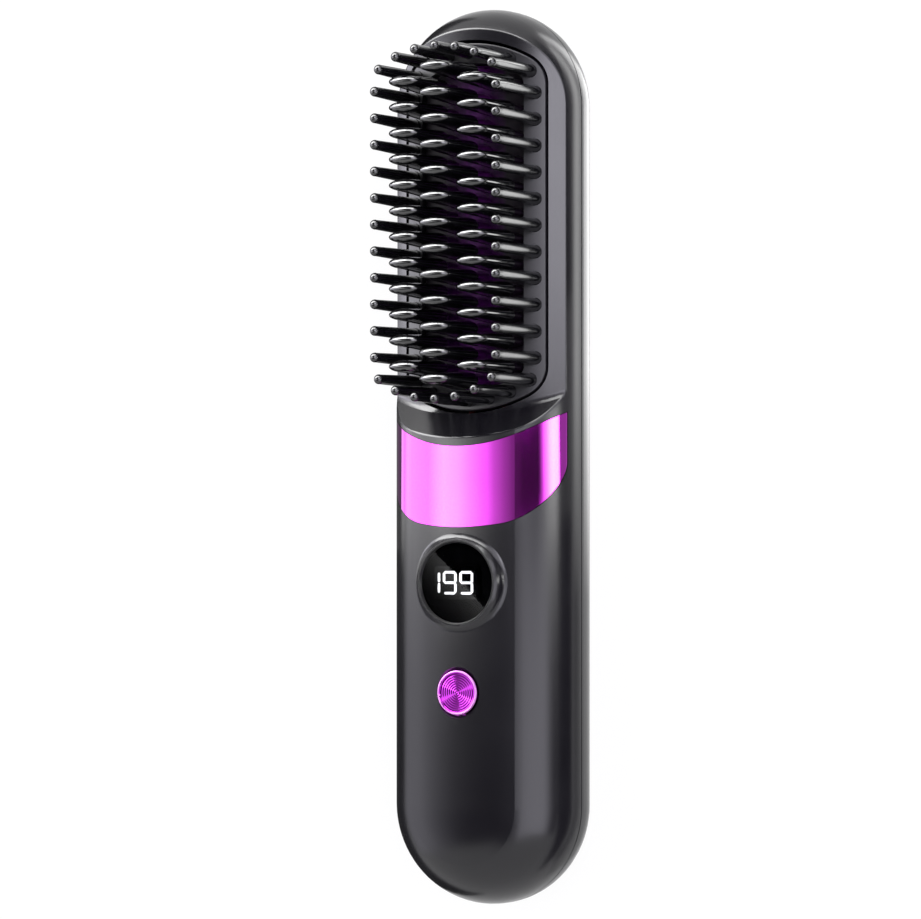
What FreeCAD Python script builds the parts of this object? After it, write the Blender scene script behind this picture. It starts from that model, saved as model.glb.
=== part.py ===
"""Cordless hair straightening brush, lying on its back.

X runs along the body with the brush head at +X, Y across it, Z up out of the bristles.
The floor is Z = 0 and the two casing halves part at Z = rear_depth.  Lengths are millimetres.
"""
import FreeCAD
import Part
import Sketcher
import math
import os
from types import SimpleNamespace

# Every length of the brush, once.  Heights named _level are counted from the parting plane.
SIZES = {
    # casing
    "body_length": 190.0,
    "body_width": 42.6,
    "front_depth": 15.4,
    "rear_depth": 13.0,
    "crown_radius": 34.0,
    "rear_corner": 12.0,
    "wall": 2.0,
    "seam_gap": 0.3,
    "lip_height": 2.4,
    "lip_gap": 0.15,
    # deck around the brush head
    "head_centre": 48.2,
    "deck_level": 10.9,
    "deck_crown": 38.5,
    "ramp_foot": 9.3,
    "ramp_crown": 100.0,
    "valley_round": 2.0,
    "deck_edge_round": 0.6,
    # bristle frame
    "pad_width": 33.0,
    "pad_length": 77.4,
    "pad_end_radius": 27.0,
    "pad_corner": 6.5,
    "pad_gap": 0.6,
    "pad_level": 10.6,
    "pad_crown": 40.0,
    "pad_edge_round": 0.35,
    "frame_low_level": 2.2,
    "frame_flange_width": 36.0,
    "frame_flange_thick": 1.6,
    "frame_rim": 4.3,
    "frame_ledge": 1.2,
    # guard bristles
    "bristle_inset": 2.15,
    "bristle_pitch": 5.55,
    "bristle_base_radius": 1.4,
    "bristle_neck_radius": 0.92,
    "bristle_ball_radius": 0.98,
    "bristle_tip_level": 26.0,
    "bristle_stub_radius": 0.9,
    "bristle_stub_length": 1.5,
    "bristle_hole_gap": 0.05,
    # heated teeth
    "plate_level": 7.2,
    "plate_gap": 0.2,
    "plate_flange_thick": 1.8,
    "tooth_pitch": 5.4,
    "tooth_column": 8.0,
    "tooth_mid_level": 26.8,
    "tooth_side_level": 25.5,
    "tooth_width": 7.1,
    "tooth_thick": 2.5,
    "tooth_drop": 1.5,
    "cap_length": 13.5,
    "cap_wall": 0.4,
    "cap_gap": 0.08,
    "cap_roof": 1.9,
    # heater under the plate
    "heater_length": 26.0,
    "heater_width": 16.0,
    "heater_thick": 2.0,
    "heater_spacing": 9.0,
    "film_thick": 0.2,
    "clamp_thick": 1.0,
    "clamp_margin": 1.5,
    "tray_floor": 2.0,
    "tray_notch_width": 13.0,
    "tray_screw_reach": 36.3,
    "tray_screw_side": 6.5,
    "sensor_radius": 1.1,
    "sensor_length": 5.0,
    "fuse_length": 9.0,
    "sensor_offset": 2.2,
    # trim band
    "band_top": 2.0,
    "band_top_radius": 33.3,
    "band_bottom": 14.9,
    "band_bottom_radius": 60.0,
    "band_corner": 13.0,
    "band_width": 40.8,
    "band_thick": 0.8,
    "band_gap": 0.12,
    "band_floor_level": 3.6,
    # display
    "display_place": 26.6,
    "bump_radius": 10.2,
    "bump_round": 3.0,
    "bump_level": 16.1,
    "bump_foot_level": 13.4,
    "bump_blend": 1.3,
    "bezel_radius": 8.95,
    "bezel_gap": 0.06,
    "bezel_width": 0.6,
    "bezel_lip": 0.2,
    "bezel_slope": 0.45,
    "lens_thick": 1.2,
    "lens_gap": 0.05,
    "lens_ledge": 1.1,
    "module_length": 7.6,
    "module_width": 11.8,
    "module_gap": 0.3,
    "digit_height": 4.9,
    "digit_width": 3.25,
    "digit_pitch": 3.95,
    "digit_stroke": 0.52,
    "digit_gap": 0.08,
    "digit_thick": 0.15,
    "digit_shift": -0.2,
    # power button and its switch
    "button_place": 49.6,
    "button_radius": 4.7,
    "button_gap": 0.2,
    "button_level": 15.7,
    "button_rim": 0.5,
    "button_dish": 0.25,
    "button_bevel": 0.25,
    "button_ring_step": 0.6,
    "button_ring_depth": 0.08,
    "button_flange_radius": 5.8,
    "button_flange_level": 12.5,
    "button_flange_thick": 0.7,
    "button_post_radius": 1.4,
    "button_recess": 0.5,
    "switch_size": 6.0,
    "switch_height": 1.8,
    "switch_floor": 0.3,
    "stem_radius": 1.6,
    "stem_gap": 0.3,
    "stem_level": 11.6,
    "dome_height": 0.8,
    "dome_radius": 1.5,
    "dome_thick": 0.15,
    # control board
    "board_level": 8.0,
    "board_thick": 1.2,
    "board_start": 71.0,
    "board_end": 15.0,
    "board_width": 25.0,
    "board_corner": 2.0,
    "board_screw_near": 39.0,
    "board_screw_far": 65.5,
    "chip_size": 6.0,
    "chip_height": 1.0,
    "chip_place": 60.0,
    "chip_side": 5.5,
    "transistor_length": 6.0,
    "transistor_width": 5.0,
    "transistor_height": 1.1,
    "transistor_place": 24.5,
    "transistor_side": 9.2,
    "coil_size": 5.0,
    "coil_height": 2.2,
    "coil_place": 60.0,
    "coil_side": 5.5,
    # battery
    "cell_radius": 9.2,
    "cell_length": 64.4,
    "cell_spacing": 18.6,
    "cell_start": 77.2,
    "cell_lift": 0.2,
    "cell_bead": 0.3,
    "cell_bead_place": 3.0,
    "cell_bead_length": 1.0,
    "tab_thick": 0.3,
    "tab_height": 6.0,
    "foam_thick": 0.3,
    "foam_width": 7.0,
    "foam_length": 40.0,
    "rib_thick": 1.6,
    "cell_rib_level": 5.6,
    "stop_gap": 0.4,
    "stop_length": 2.2,
    "stop_width": 8.0,
    # charging socket
    "socket_level": 4.6,
    "socket_width": 8.94,
    "socket_height": 3.26,
    "socket_wall": 0.3,
    "socket_length": 7.35,
    "socket_mouth": 93.2,
    "socket_gap": 0.3,
    "tongue_width": 6.7,
    "tongue_thick": 0.7,
    "tongue_back": 1.6,
    "tongue_inset": 1.0,
    "tongue_gap": 0.05,
    "charge_board_thick": 1.0,
    "charge_board_end": 80.4,
    "charge_board_start": 90.2,
    "charge_board_width": 9.2,
    # screws, posts and wires
    "boss_radius": 2.7,
    "post_radius": 3.4,
    "board_boss_radius": 2.2,
    "screw_radius": 1.0,
    "screw_head_radius": 1.9,
    "screw_head_height": 1.2,
    "screw_slot_width": 0.6,
    "screw_slot_depth": 0.6,
    "screw_gap": 0.1,
    "screw_bite": 6.0,
    "counterbore_depth": 3.0,
    "counterbore_gap": 0.4,
    "case_screw_tail": 84.6,
    "case_screw_tail_side": 8.2,
    "case_screw_neck": 2.0,
    "case_screw_neck_side": 13.0,
    "tray_rib_thick": 2.0,
    "tray_rib_width": 18.0,
    "tray_rib_reach": 26.0,
    "lead_radius": 0.7,
    "lead_bend": 1.8,
    "lead_side": 4.2,
    "lead_run": 3.0,
    "lead_clear": 2.4,
    # tool bodies reach this far past what they cut
    "overrun": 3.0,
}
# Plain numbers that are not lengths.
RAMP_ANGLE = 39.3
COLUMN_BRISTLES = 11
END_STEPS = 8
MID_TEETH = 13
SIDE_TEETH = 12
BUTTON_RINGS = 5
SLOT_LENGTH_SHARE = 1.3

doc = FreeCAD.newDocument("hair_straightening_brush")
sheet = doc.addObject("Spreadsheet::Sheet", "sizes")
for row, (name, value) in enumerate(SIZES.items(), start=1):
    sheet.set(f"A{row}", name)
    sheet.set(f"B{row}", str(value))
    sheet.setAlias(f"B{row}", name)
doc.recompute()


class Size:
    """A length that carries its value and the sheet expression it is worked out from."""

    def __init__(self, value, text):
        self.value = value
        self.text = text

    def combine(self, other, sign, value):
        return Size(value, f"({self.text} {sign} {other.text})")

    def __add__(self, other):
        other = as_size(other)
        return self.combine(other, "+", self.value + other.value)

    def __sub__(self, other):
        other = as_size(other)
        return self.combine(other, "-", self.value - other.value)

    def __mul__(self, other):
        other = as_size(other)
        return self.combine(other, "*", self.value * other.value)

    def __truediv__(self, other):
        other = as_size(other)
        return self.combine(other, "/", self.value / other.value)

    def __neg__(self):
        return Size(-self.value, f"(0 - {self.text})")

    def __radd__(self, other):
        return as_size(other) + self


def as_size(number):
    return number if isinstance(number, Size) else Size(float(number), str(number))


def root(square):
    return Size(math.sqrt(square.value), f"sqrt({square.text})")


s = SimpleNamespace(**{name: Size(value, f"sizes.{name}") for name, value in SIZES.items()})
ZERO = Size(0.0, "0")
parting = s.rear_depth
half_width = s.body_width / 2
end_centre = s.body_length / 2 - half_width


def level(height):
    return parting + height


def bind(thing, **settings):
    for prop, amount in settings.items():
        thing.setExpression(prop.replace("__", "."), amount.text)


def place(thing, x=ZERO, y=ZERO, z=ZERO):
    bind(thing, Placement__Base__x=x, Placement__Base__y=y, Placement__Base__z=z)
    return thing


# Sketching: outlines are lists of (corner, bend) going round, bend None for a straight run
# or (radius, turn) for an arc to the next corner, turn +1 leftward and -1 rightward.

def origin_part(body, role):
    return next(item for item in body.Origin.OriginFeatures if item.Role == role)


def new_sketch(body, role):
    sketch = body.newObject("Sketcher::SketchObject", "sketch")
    sketch.AttachmentSupport = [(origin_part(body, role), "")]
    sketch.MapMode = "FlatFace"
    return sketch


def fix_point(sketch, piece, end, point):
    for kind, axis, amount in (("DistanceX", -2, point[0]), ("DistanceY", -1, point[1])):
        if amount.text == "0":
            sketch.addConstraint(Sketcher.Constraint("PointOnObject", piece, end, axis))
            continue
        index = sketch.addConstraint(Sketcher.Constraint(kind, -1, 1, piece, end, amount.value))
        sketch.setExpression(f"Constraints[{index}]", amount.text)


def flat(point):
    return FreeCAD.Vector(point[0].value, point[1].value, 0)


def arc_between(start, finish, radius, turn):
    chord = finish - start
    across = FreeCAD.Vector(-chord.y, chord.x, 0).normalize() * turn
    rise = math.sqrt(max(radius ** 2 - (chord.Length / 2) ** 2, 0))
    centre = (start + finish) / 2 + across * rise
    first, last = (start, finish) if turn > 0 else (finish, start)
    angles = [math.atan2(spot.y - centre.y, spot.x - centre.x) for spot in (first, last)]
    if angles[1] <= angles[0]:
        angles[1] += 2 * math.pi
    circle = Part.Circle(centre, FreeCAD.Vector(0, 0, 1), radius)
    return Part.ArcOfCircle(circle, angles[0], angles[1])


def draw_outline(sketch, corners):
    ends = []
    for index, (corner, bend) in enumerate(corners):
        start = flat(corner)
        finish = flat(corners[(index + 1) % len(corners)][0])
        if bend is None:
            piece = sketch.addGeometry(Part.LineSegment(start, finish))
            ends.append((piece, 1, 2))
            continue
        radius, turn = bend
        piece = sketch.addGeometry(arc_between(start, finish, radius.value, turn))
        ends.append((piece, 1, 2) if turn > 0 else (piece, 2, 1))
    for index, (piece, start_end, finish_end) in enumerate(ends):
        follower = ends[(index + 1) % len(ends)]
        joined = Sketcher.Constraint("Coincident", piece, finish_end, follower[0], follower[1])
        sketch.addConstraint(joined)
    for (piece, start_end, finish_end), (corner, bend) in zip(ends, corners):
        fix_point(sketch, piece, start_end, corner)
        if bend is not None:
            index = sketch.addConstraint(Sketcher.Constraint("Radius", piece, bend[0].value))
            sketch.setExpression(f"Constraints[{index}]", bend[0].text)


def padded(label, role, outlines, length, both_ways=False):
    body = doc.addObject("PartDesign::Body", label)
    sketch = new_sketch(body, role)
    for outline in outlines:
        draw_outline(sketch, outline)
    pad = body.newObject("PartDesign::Pad", "pad")
    pad.Profile = sketch
    pad.SideType = "Symmetric" if both_ways else "One side"
    bind(pad, Length=length)
    return body


def slab(label, outlines, low, high):
    """A flat piece with its outline in plan, from one level up to another."""
    return place(padded(label, "XY_Plane", outlines, high - low), z=low)


def turned(label, profile, x=ZERO, y=ZERO):
    """A round piece turned about an upright axis; the profile is (radius, height) corners."""
    body = doc.addObject("PartDesign::Body", label)
    sketch = new_sketch(body, "XZ_Plane")
    draw_outline(sketch, profile)
    turn = body.newObject("PartDesign::Revolution", "turn")
    turn.Profile = sketch
    turn.ReferenceAxis = (sketch, ["V_Axis"])
    return place(body, x=x, y=y)


def column(label, radius, low, high, x, y=ZERO):
    cylinder = doc.addObject("Part::Cylinder", label)
    bind(cylinder, Radius=radius, Height=high - low)
    return place(cylinder, x=x, y=y, z=low)


def block(label, x_size, y_size, low, high, x, y=ZERO):
    """A box centred on x and y."""
    box = doc.addObject("Part::Box", label)
    bind(box, Length=x_size, Width=y_size, Height=high - low)
    return place(box, x=x - x_size / 2, y=y - y_size / 2, z=low)


def cut(label, base, *tools):
    for number, tool in enumerate(tools, start=1):
        name = label if number == len(tools) else f"{label}_cut{number}"
        result = doc.addObject("Part::Cut", name)
        result.Base = base
        result.Tool = tool
        base = result
    return base


def join(label, *pieces):
    result = doc.addObject("Part::MultiFuse", label)
    result.Shapes = list(pieces)
    return result


def overlap(label, *pieces):
    result = doc.addObject("Part::MultiCommon", label)
    result.Shapes = list(pieces)
    return result


def rounded(label, base, radius, chosen):
    """The base with the chosen edges rounded; chosen is asked about the faces each edge parts."""
    doc.recompute()
    shape = base.Shape
    numbers = [number for number, edge in enumerate(shape.Edges, start=1)
               if chosen(shape.ancestorsOfType(edge, Part.Face))]
    result = doc.addObject("Part::Fillet", label)
    result.Base = base
    result.Edges = [(number, radius.value, radius.value) for number in numbers]
    return result


def round_face(sides, *radii):
    """Picks edges with a lengthwise round face of one of these radii on one side or on both."""
    def chosen(faces):
        matches = [face for face in faces if isinstance(face.Surface, Part.Cylinder)
                   and abs(face.Surface.Axis.x) > abs(face.Surface.Axis.z)
                   and any(math.isclose(face.Surface.Radius, radius.value) for radius in radii)]
        blends = [face for face in faces if isinstance(face.Surface, Part.BSplineSurface)]
        return len(matches) == sides and len(faces) == 2 and not blends
    return chosen


def bump_foot(faces):
    """Picks the edge where a ring-shaped face meets another curved face."""
    rings = [face for face in faces if isinstance(face.Surface, Part.Toroid)]
    flats = [face for face in faces if isinstance(face.Surface, Part.Plane)]
    return len(rings) == 1 and not flats and len(faces) == 2


def shaped(label, shape):
    feature = doc.addObject("Part::Feature", label)
    feature.Shape = shape
    return feature


def copies(label, source, spots):
    """The source's shape repeated at each spot, as separate solids in one piece."""
    doc.recompute()
    shapes = []
    for spot in spots:
        shape = source.Shape.copy()
        shape.translate(spot)
        shapes.extend(shape.Solids)
    return shaped(label, Part.makeCompound(shapes))


def rectangle(x_low, x_high, y_low, y_high):
    return [((x_low, y_low), None), ((x_high, y_low), None),
            ((x_high, y_high), None), ((x_low, y_high), None)]


def rounded_rectangle(x_low, x_high, y_low, y_high, corner):
    bend = (corner, 1)
    return [
        ((x_low + corner, y_low), None),
        ((x_high - corner, y_low), bend),
        ((x_high, y_low + corner), None),
        ((x_high, y_high - corner), bend),
        ((x_high - corner, y_high), None),
        ((x_low + corner, y_high), bend),
        ((x_low, y_high - corner), None),
        ((x_low, y_low + corner), bend),
    ]


def stadium(reach, radius):
    """A straight-sided outline with round ends whose centres lie at plus and minus reach."""
    bend = (radius, 1)
    return [
        ((reach, -radius), bend),
        ((reach + radius, ZERO), bend),
        ((reach, radius), None),
        ((-reach, radius), bend),
        ((-reach - radius, ZERO), bend),
        ((-reach, -radius), None),
    ]


def arched(half_length, half_breadth, end_radius, corner):
    """The brush head's outline: straight sides, slightly arched ends and rounded corners."""
    arch_centre = half_length - end_radius
    side = half_breadth - corner
    span = end_radius - corner
    along = root(span * span - side * side)
    corner_x = arch_centre + along
    meet_x = arch_centre + along * end_radius / span
    meet_y = side * end_radius / span
    end, bend = (end_radius, 1), (corner, 1)
    return [
        ((corner_x, -half_breadth), bend),
        ((meet_x, -meet_y), end),
        ((meet_x, meet_y), bend),
        ((corner_x, half_breadth), None),
        ((-corner_x, half_breadth), bend),
        ((-meet_x, meet_y), end),
        ((-meet_x, -meet_y), bend),
        ((-corner_x, -half_breadth), None),
    ]


def pad_outline(growth):
    return arched(
        s.pad_length / 2 + growth, s.pad_width / 2 + growth,
        s.pad_end_radius + growth, s.pad_corner + growth)


def head_slab(label, outlines, low, high):
    return place(slab(label, outlines, low, high), x=s.head_centre, z=low)


# Casing forms: the long body is a section drawn straight along X and turned half round at each end.

shoulder = (
    s.crown_radius * s.crown_radius - half_width * half_width
    - (s.crown_radius - s.front_depth) * (s.crown_radius - s.front_depth)
) / ((s.crown_radius - half_width) * 2)
shoulder_side = half_width - shoulder


def front_corners(inset):
    """Where the shoulder arc starts, where it meets the crown arc and the crown's top."""
    share = (s.crown_radius - inset) / (s.crown_radius - shoulder)
    meet = (shoulder_side * share,
            level(s.front_depth - s.crown_radius + (s.crown_radius - s.front_depth) * share))
    return (half_width - inset, parting), meet, (ZERO, level(s.front_depth - inset))


def pill(label, full, half):
    body = padded(label, "YZ_Plane", [full], s.body_length - s.body_width, both_ways=True)
    sketch = new_sketch(body, "XZ_Plane")
    sketch.setExpression("AttachmentOffset.Base.x", end_centre.text)
    draw_outline(sketch, half)
    turn = body.newObject("PartDesign::Revolution", "end")
    turn.Profile = sketch
    turn.ReferenceAxis = (sketch, ["V_Axis"])
    turn.Angle = 180
    turn.Midplane = True
    mirror = body.newObject("PartDesign::Mirrored", "other_end")
    mirror.Originals = [turn]
    mirror.MirrorPlane = (origin_part(body, "YZ_Plane"), [""])
    body.Tip = mirror
    return body


def front_pill(label, inset=ZERO, skirt=None):
    side, meet, top = front_corners(inset)
    shoulder_bend, crown_bend = (shoulder - inset, 1), (s.crown_radius - inset, 1)
    full = [(side, shoulder_bend), (meet, crown_bend),
            ((-meet[0], meet[1]), shoulder_bend), ((-side[0], side[1]), None)]
    half = [((ZERO, parting), None), (side, shoulder_bend), (meet, crown_bend), (top, None)]
    if skirt is not None:
        low = parting - skirt
        full += [((-side[0], low), None), ((side[0], low), None)]
        half = [((ZERO, low), None), ((side[0], low), None)] + half[1:]
    return pill(label, full, half)


def rear_pill(label, inset, top):
    side = half_width - inset
    flat_side = half_width - s.rear_corner
    bend = (s.rear_corner - inset, 1)
    full = [((-side, top), None), ((-side, s.rear_corner), bend), ((-flat_side, inset), None),
            ((flat_side, inset), bend), ((side, s.rear_corner), None), ((side, top), None)]
    half = [((ZERO, inset), None), ((flat_side, inset), bend), ((side, s.rear_corner), None),
            ((side, top), None), ((ZERO, top), None)]
    return pill(label, full, half)


def above_arch(label, radius, apex, top, length):
    """Everything above a crowned surface, as a long bar along X."""
    side = half_width + s.overrun
    edge = apex - radius + root(radius * radius - side * side)
    outline = [((-side, edge), (radius, -1)), ((side, edge), None),
               ((side, top), None), ((-side, top), None)]
    return padded(label, "YZ_Plane", [outline], length, both_ways=True)


def head_cut(label, drop):
    """What is taken off the body to leave the sunken deck and the ramp up to the handle."""
    deck = above_arch(
        f"{label}_deck", s.deck_crown - drop, level(s.deck_level - drop),
        level(s.front_depth + s.overrun), s.body_length + s.overrun)
    ramp = above_arch(
        f"{label}_ramp", s.ramp_crown - drop, -drop, s.body_length / 2, s.body_length + s.overrun)
    ramp.Placement = FreeCAD.Placement(
        FreeCAD.Vector(0, 0, 0), FreeCAD.Rotation(FreeCAD.Vector(0, 1, 0), RAMP_ANGLE))
    place(ramp, x=s.ramp_foot, z=level(s.deck_level))
    return overlap(label, deck, ramp)


# Screws stand point up: profile heights start at the underside of the head.

def screw(label, radius, length, head_radius, head_height):
    profile = [((ZERO, -head_height), None), ((head_radius, -head_height), None),
               ((head_radius, ZERO), None), ((radius, ZERO), None),
               ((radius, length - radius), None), ((ZERO, length), None)]
    blank = turned(f"{label}_blank", profile)
    slot_length, slot_width = head_radius * SLOT_LENGTH_SHARE, s.screw_slot_width
    base = -head_height
    slot_top = base + s.screw_slot_depth
    first = block(f"{label}_slot_a", slot_length, slot_width, base, slot_top, ZERO)
    other = block(f"{label}_slot_b", slot_width, slot_length, base, slot_top, ZERO)
    return cut(f"{label}_form", blank, first, other)


def spots(*points):
    return [FreeCAD.Vector(*(coordinate.value for coordinate in point)) for point in points]


# Front casing: the outer form, the sunken head, the hollow and every hole and boss in it.

button_x = -s.button_place
display_x = -s.display_place
board_top = level(s.board_level + s.board_thick)
case_screw_places = [
    (-s.case_screw_tail, s.case_screw_tail_side), (-s.case_screw_tail, -s.case_screw_tail_side),
    (s.case_screw_neck, s.case_screw_neck_side), (s.case_screw_neck, -s.case_screw_neck_side)]
case_head_top = s.counterbore_depth
case_boss_low = s.counterbore_depth + s.wall
board_screw_places = [-s.board_screw_near, -s.board_screw_far]

front_form = front_pill("front_form")
front_block = cut("front_block", front_form, head_cut("head_cut", ZERO))
cavity = cut(
    "front_cavity", front_pill("front_hollow", s.wall, s.overrun), head_cut("head_hollow_cut", s.wall))

lens_seat = level(s.bump_level - s.bezel_slope - s.lens_thick)
lens_radius = s.bezel_radius - s.bezel_width
bump = turned("display_bump", [
    ((ZERO, level(s.bump_foot_level)), None),
    ((s.bump_radius, level(s.bump_foot_level)), (s.bump_round, 1)),
    ((s.bezel_radius + s.bezel_lip, level(s.bump_level)), None), ((ZERO, level(s.bump_level)), None)],
    x=display_x)
case_bosses = [
    column(f"case_boss_{number}", s.boss_radius, case_boss_low, level(s.front_depth), x, y)
    for number, (x, y) in enumerate(case_screw_places)]
board_bosses = [
    column(f"board_boss_{number}", s.board_boss_radius, board_top, level(s.front_depth), x)
    for number, x in enumerate(board_screw_places)]
bosses_above = overlap("bosses_above", join("bosses", *case_bosses, *board_bosses), front_pill(
    "boss_limit", s.wall / 2, parting))
front_valley = rounded(
    "front_valley", front_block, s.valley_round, round_face(2, s.deck_crown, s.ramp_crown))
front_deck = rounded(
    "front_deck", front_valley, s.deck_edge_round, round_face(1, s.deck_crown, s.ramp_crown))
front_raised = rounded("front_raised", join("front_bumped", front_deck, bump), s.bump_blend, bump_foot)
hollow_front = cut("hollow_front", front_raised, cavity)
solid_front = join("solid_front", hollow_front, bosses_above)


def band_outline(growth):
    side = s.band_width / 2 + growth
    top_radius = s.band_top_radius - growth
    top_centre = s.band_top + s.band_top_radius
    low_radius = s.band_bottom_radius + growth
    low_centre = s.band_bottom_radius - s.band_bottom
    corner = s.band_corner + growth
    corner_side = side - corner
    span = low_radius - corner
    along = root(span * span - corner_side * corner_side)
    meet_x = low_centre - along * low_radius / span
    meet_y = corner_side * low_radius / span
    top_x = top_centre - root(top_radius * top_radius - side * side)
    return [
        ((top_x, side), None),
        ((low_centre - along, side), (corner, 1)),
        ((meet_x, meet_y), (low_radius, 1)),
        ((meet_x, -meet_y), (corner, 1)),
        ((low_centre - along, -side), None),
        ((top_x, -side), (top_radius, -1)),
    ]


band_roof = level(s.front_depth + s.overrun)
groove_low = level(s.band_floor_level - s.band_gap)
groove = cut(
    "band_groove", slab("band_groove_form", [band_outline(s.band_gap)], groove_low, band_roof),
    front_pill("band_groove_floor", s.band_thick + s.band_gap))

pad_hole = head_slab("pad_hole", [pad_outline(s.pad_gap)], parting, level(s.front_depth))
wall_half = s.wall / 2
rebate = slab(
    "lip_rebate", [stadium(end_centre, half_width - wall_half)],
    parting - s.overrun, level(s.lip_height + s.lip_gap))
rebate_core = slab(
    "lip_rebate_core", [stadium(end_centre, half_width - s.wall - s.lip_gap)],
    parting - s.overrun, level(s.lip_height + s.lip_gap))
rebate_ring = cut("lip_rebate_ring", rebate, rebate_core)
lens_bore = column("lens_bore", s.bezel_radius, lens_seat, level(s.bump_level + s.overrun), display_x)
lens_window = column(
    "lens_window", lens_radius - s.lens_ledge, level(s.board_level), lens_seat + s.overrun, display_x)
hole_radius = s.button_radius + s.button_gap
recess_low, recess_top = level(s.front_depth - s.button_recess), level(s.front_depth + s.overrun)
button_hole = column("button_hole", hole_radius, level(s.button_flange_level), recess_top, button_x)
button_recess = turned("button_recess", [
    ((ZERO, recess_low), None), ((hole_radius, recess_low), None),
    ((hole_radius + s.button_recess + s.overrun, recess_top), None), ((ZERO, recess_top), None)],
    x=button_x)
case_pilots = [
    column(f"case_pilot_{number}", s.screw_radius + s.screw_gap, ZERO,
           case_head_top + s.wall + s.screw_bite + s.screw_gap, x, y)
    for number, (x, y) in enumerate(case_screw_places)]
board_pilots = [
    column(f"board_pilot_{number}", s.screw_radius + s.screw_gap, level(s.board_level),
           board_top + s.screw_bite / 2 + s.screw_gap, x)
    for number, x in enumerate(board_screw_places)]
front_casing = cut(
    "front_casing", solid_front, groove, pad_hole, rebate_ring, lens_bore, lens_window,
    button_hole, button_recess, *case_pilots, *board_pilots)

# Rear cover: a shallow shell with the lip that locates the front, screw posts, ribs and the socket slot.

rear_form = rear_pill("rear_form", ZERO, parting - s.seam_gap)
rear_hollow = rear_pill("rear_hollow", s.wall, parting + s.overrun)
lip_form = slab(
    "lip_form", [stadium(end_centre, half_width - wall_half - s.lip_gap)],
    parting - s.lip_height, level(s.lip_height))
lip_core = slab(
    "lip_core", [stadium(end_centre, half_width - s.wall)],
    parting - s.lip_height * 2, level(s.lip_height * 2))
rear_posts = [
    column(f"rear_post_{number}", s.post_radius, s.wall / 2, case_boss_low, x, y)
    for number, (x, y) in enumerate(case_screw_places)]
tray_low = s.frame_low_level - s.heater_thick - s.film_thick - s.clamp_thick - s.tray_floor
tray_ribs = [
    block(f"tray_rib_{number}", s.tray_rib_thick, s.tray_rib_width, s.wall / 2, level(tray_low), x)
    for number, x in enumerate([s.head_centre - s.tray_rib_reach, s.head_centre + s.tray_rib_reach])]
cell_axis = s.wall + s.cell_lift + s.cell_radius
cell_middle = s.cell_length / 2 - s.cell_start
cell_rib = block(
    "cell_rib", s.cell_length, s.rib_thick, s.wall / 2, parting - s.cell_rib_level, cell_middle)
cell_stops = [
    block(f"cell_stop_{number}", s.stop_length, s.stop_width, s.wall / 2, parting - s.tab_height, x)
    for number, x in enumerate([
        -s.cell_start - s.tab_thick - s.stop_gap - s.stop_length / 2,
        s.cell_length - s.cell_start + s.tab_thick + s.stop_gap + s.stop_length / 2])]
charge_top = parting - s.socket_level - s.socket_height / 2
charge_low = charge_top - s.charge_board_thick
charge_middle = -(s.charge_board_start + s.charge_board_end) / 2
charge_rib = block(
    "charge_rib", s.stop_length, s.charge_board_width, s.wall / 2, charge_low, charge_middle)
rear_shell = cut("rear_shell", rear_form, rear_hollow)
rear_lip = overlap("rear_lip", cut("rear_lip_ring", lip_form, lip_core), front_pill(
    "lip_limit", wall_half, parting))
rear_added = join(
    "rear_added", *rear_posts, *tray_ribs, cell_rib, *cell_stops, charge_rib)
rear_inside = overlap("rear_inside", rear_added, rear_pill("rear_limit", s.wall / 2, parting + s.overrun))
rear_solid = join("rear_solid", rear_shell, rear_lip, rear_inside)
counterbores = [
    column(f"counterbore_{number}", s.screw_head_radius + s.counterbore_gap,
           -s.overrun, case_head_top, x, y)
    for number, (x, y) in enumerate(case_screw_places)]
clear_holes = [
    column(f"clear_hole_{number}", s.screw_radius + s.screw_gap, ZERO, parting, x, y)
    for number, (x, y) in enumerate(case_screw_places)]


def across(label, outline, x_low, x_high, z):
    """A bar along X whose outline is drawn across it about the given height."""
    return place(padded(label, "YZ_Plane", [outline], x_high - x_low), x=x_low, z=z)


def slot_outline(width, height):
    radius = height / 2
    return [((y, z), bend) for (y, z), bend in stadium(width / 2 - radius, radius)]


socket_z = parting - s.socket_level
socket_slot = across(
    "socket_slot", slot_outline(s.socket_width + s.socket_gap * 2, s.socket_height + s.socket_gap * 2),
    -s.body_length / 2 - s.overrun, -s.charge_board_start, socket_z)
rear_cover = cut("rear_cover", rear_solid, *counterbores, *clear_holes, socket_slot)

case_screw_length = s.wall + s.screw_bite
case_screws = copies(
    "case_screws",
    screw("case_screw", s.screw_radius, case_screw_length, s.screw_head_radius, s.screw_head_height),
    spots(*[(x, y, case_head_top) for x, y in case_screw_places]))

# Trim band: a thin skin of the front form, let into its groove.

trim_band = overlap("trim_band", front_pill("band_outer"), cut(
    "band_blank",
    slab("band_form", [band_outline(ZERO)], level(s.band_floor_level), band_roof),
    front_pill("band_inner", s.band_thick)))

# Brush head: the crowned frame carries the guard bristles and holds the heating plate.

frame_low = level(s.frame_low_level)
ledge_level = frame_low + s.plate_flange_thick + s.plate_gap
frame_form = head_slab("frame_form", [pad_outline(ZERO)], frame_low, level(s.front_depth))
frame_crown = above_arch(
    "frame_crown", s.pad_crown, level(s.pad_level), level(s.front_depth + s.overrun), s.body_length * 2)
flange_outline = arched(
    s.pad_length / 2, s.frame_flange_width / 2, s.pad_end_radius, s.pad_corner)
frame_flange = head_slab("frame_flange", [flange_outline], frame_low, frame_low + s.frame_flange_thick)
frame_window = head_slab(
    "frame_window", [pad_outline(-s.frame_rim)], frame_low - s.overrun, level(s.front_depth))
frame_seat = head_slab(
    "frame_seat", [pad_outline(s.frame_ledge - s.frame_rim)], frame_low - s.overrun, ledge_level)
frame_top = rounded(
    "frame_top", cut("frame_crowned", frame_form, frame_crown), s.pad_edge_round,
    round_face(1, s.pad_crown))
frame_body = join("frame_body", frame_top, frame_flange)


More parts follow.
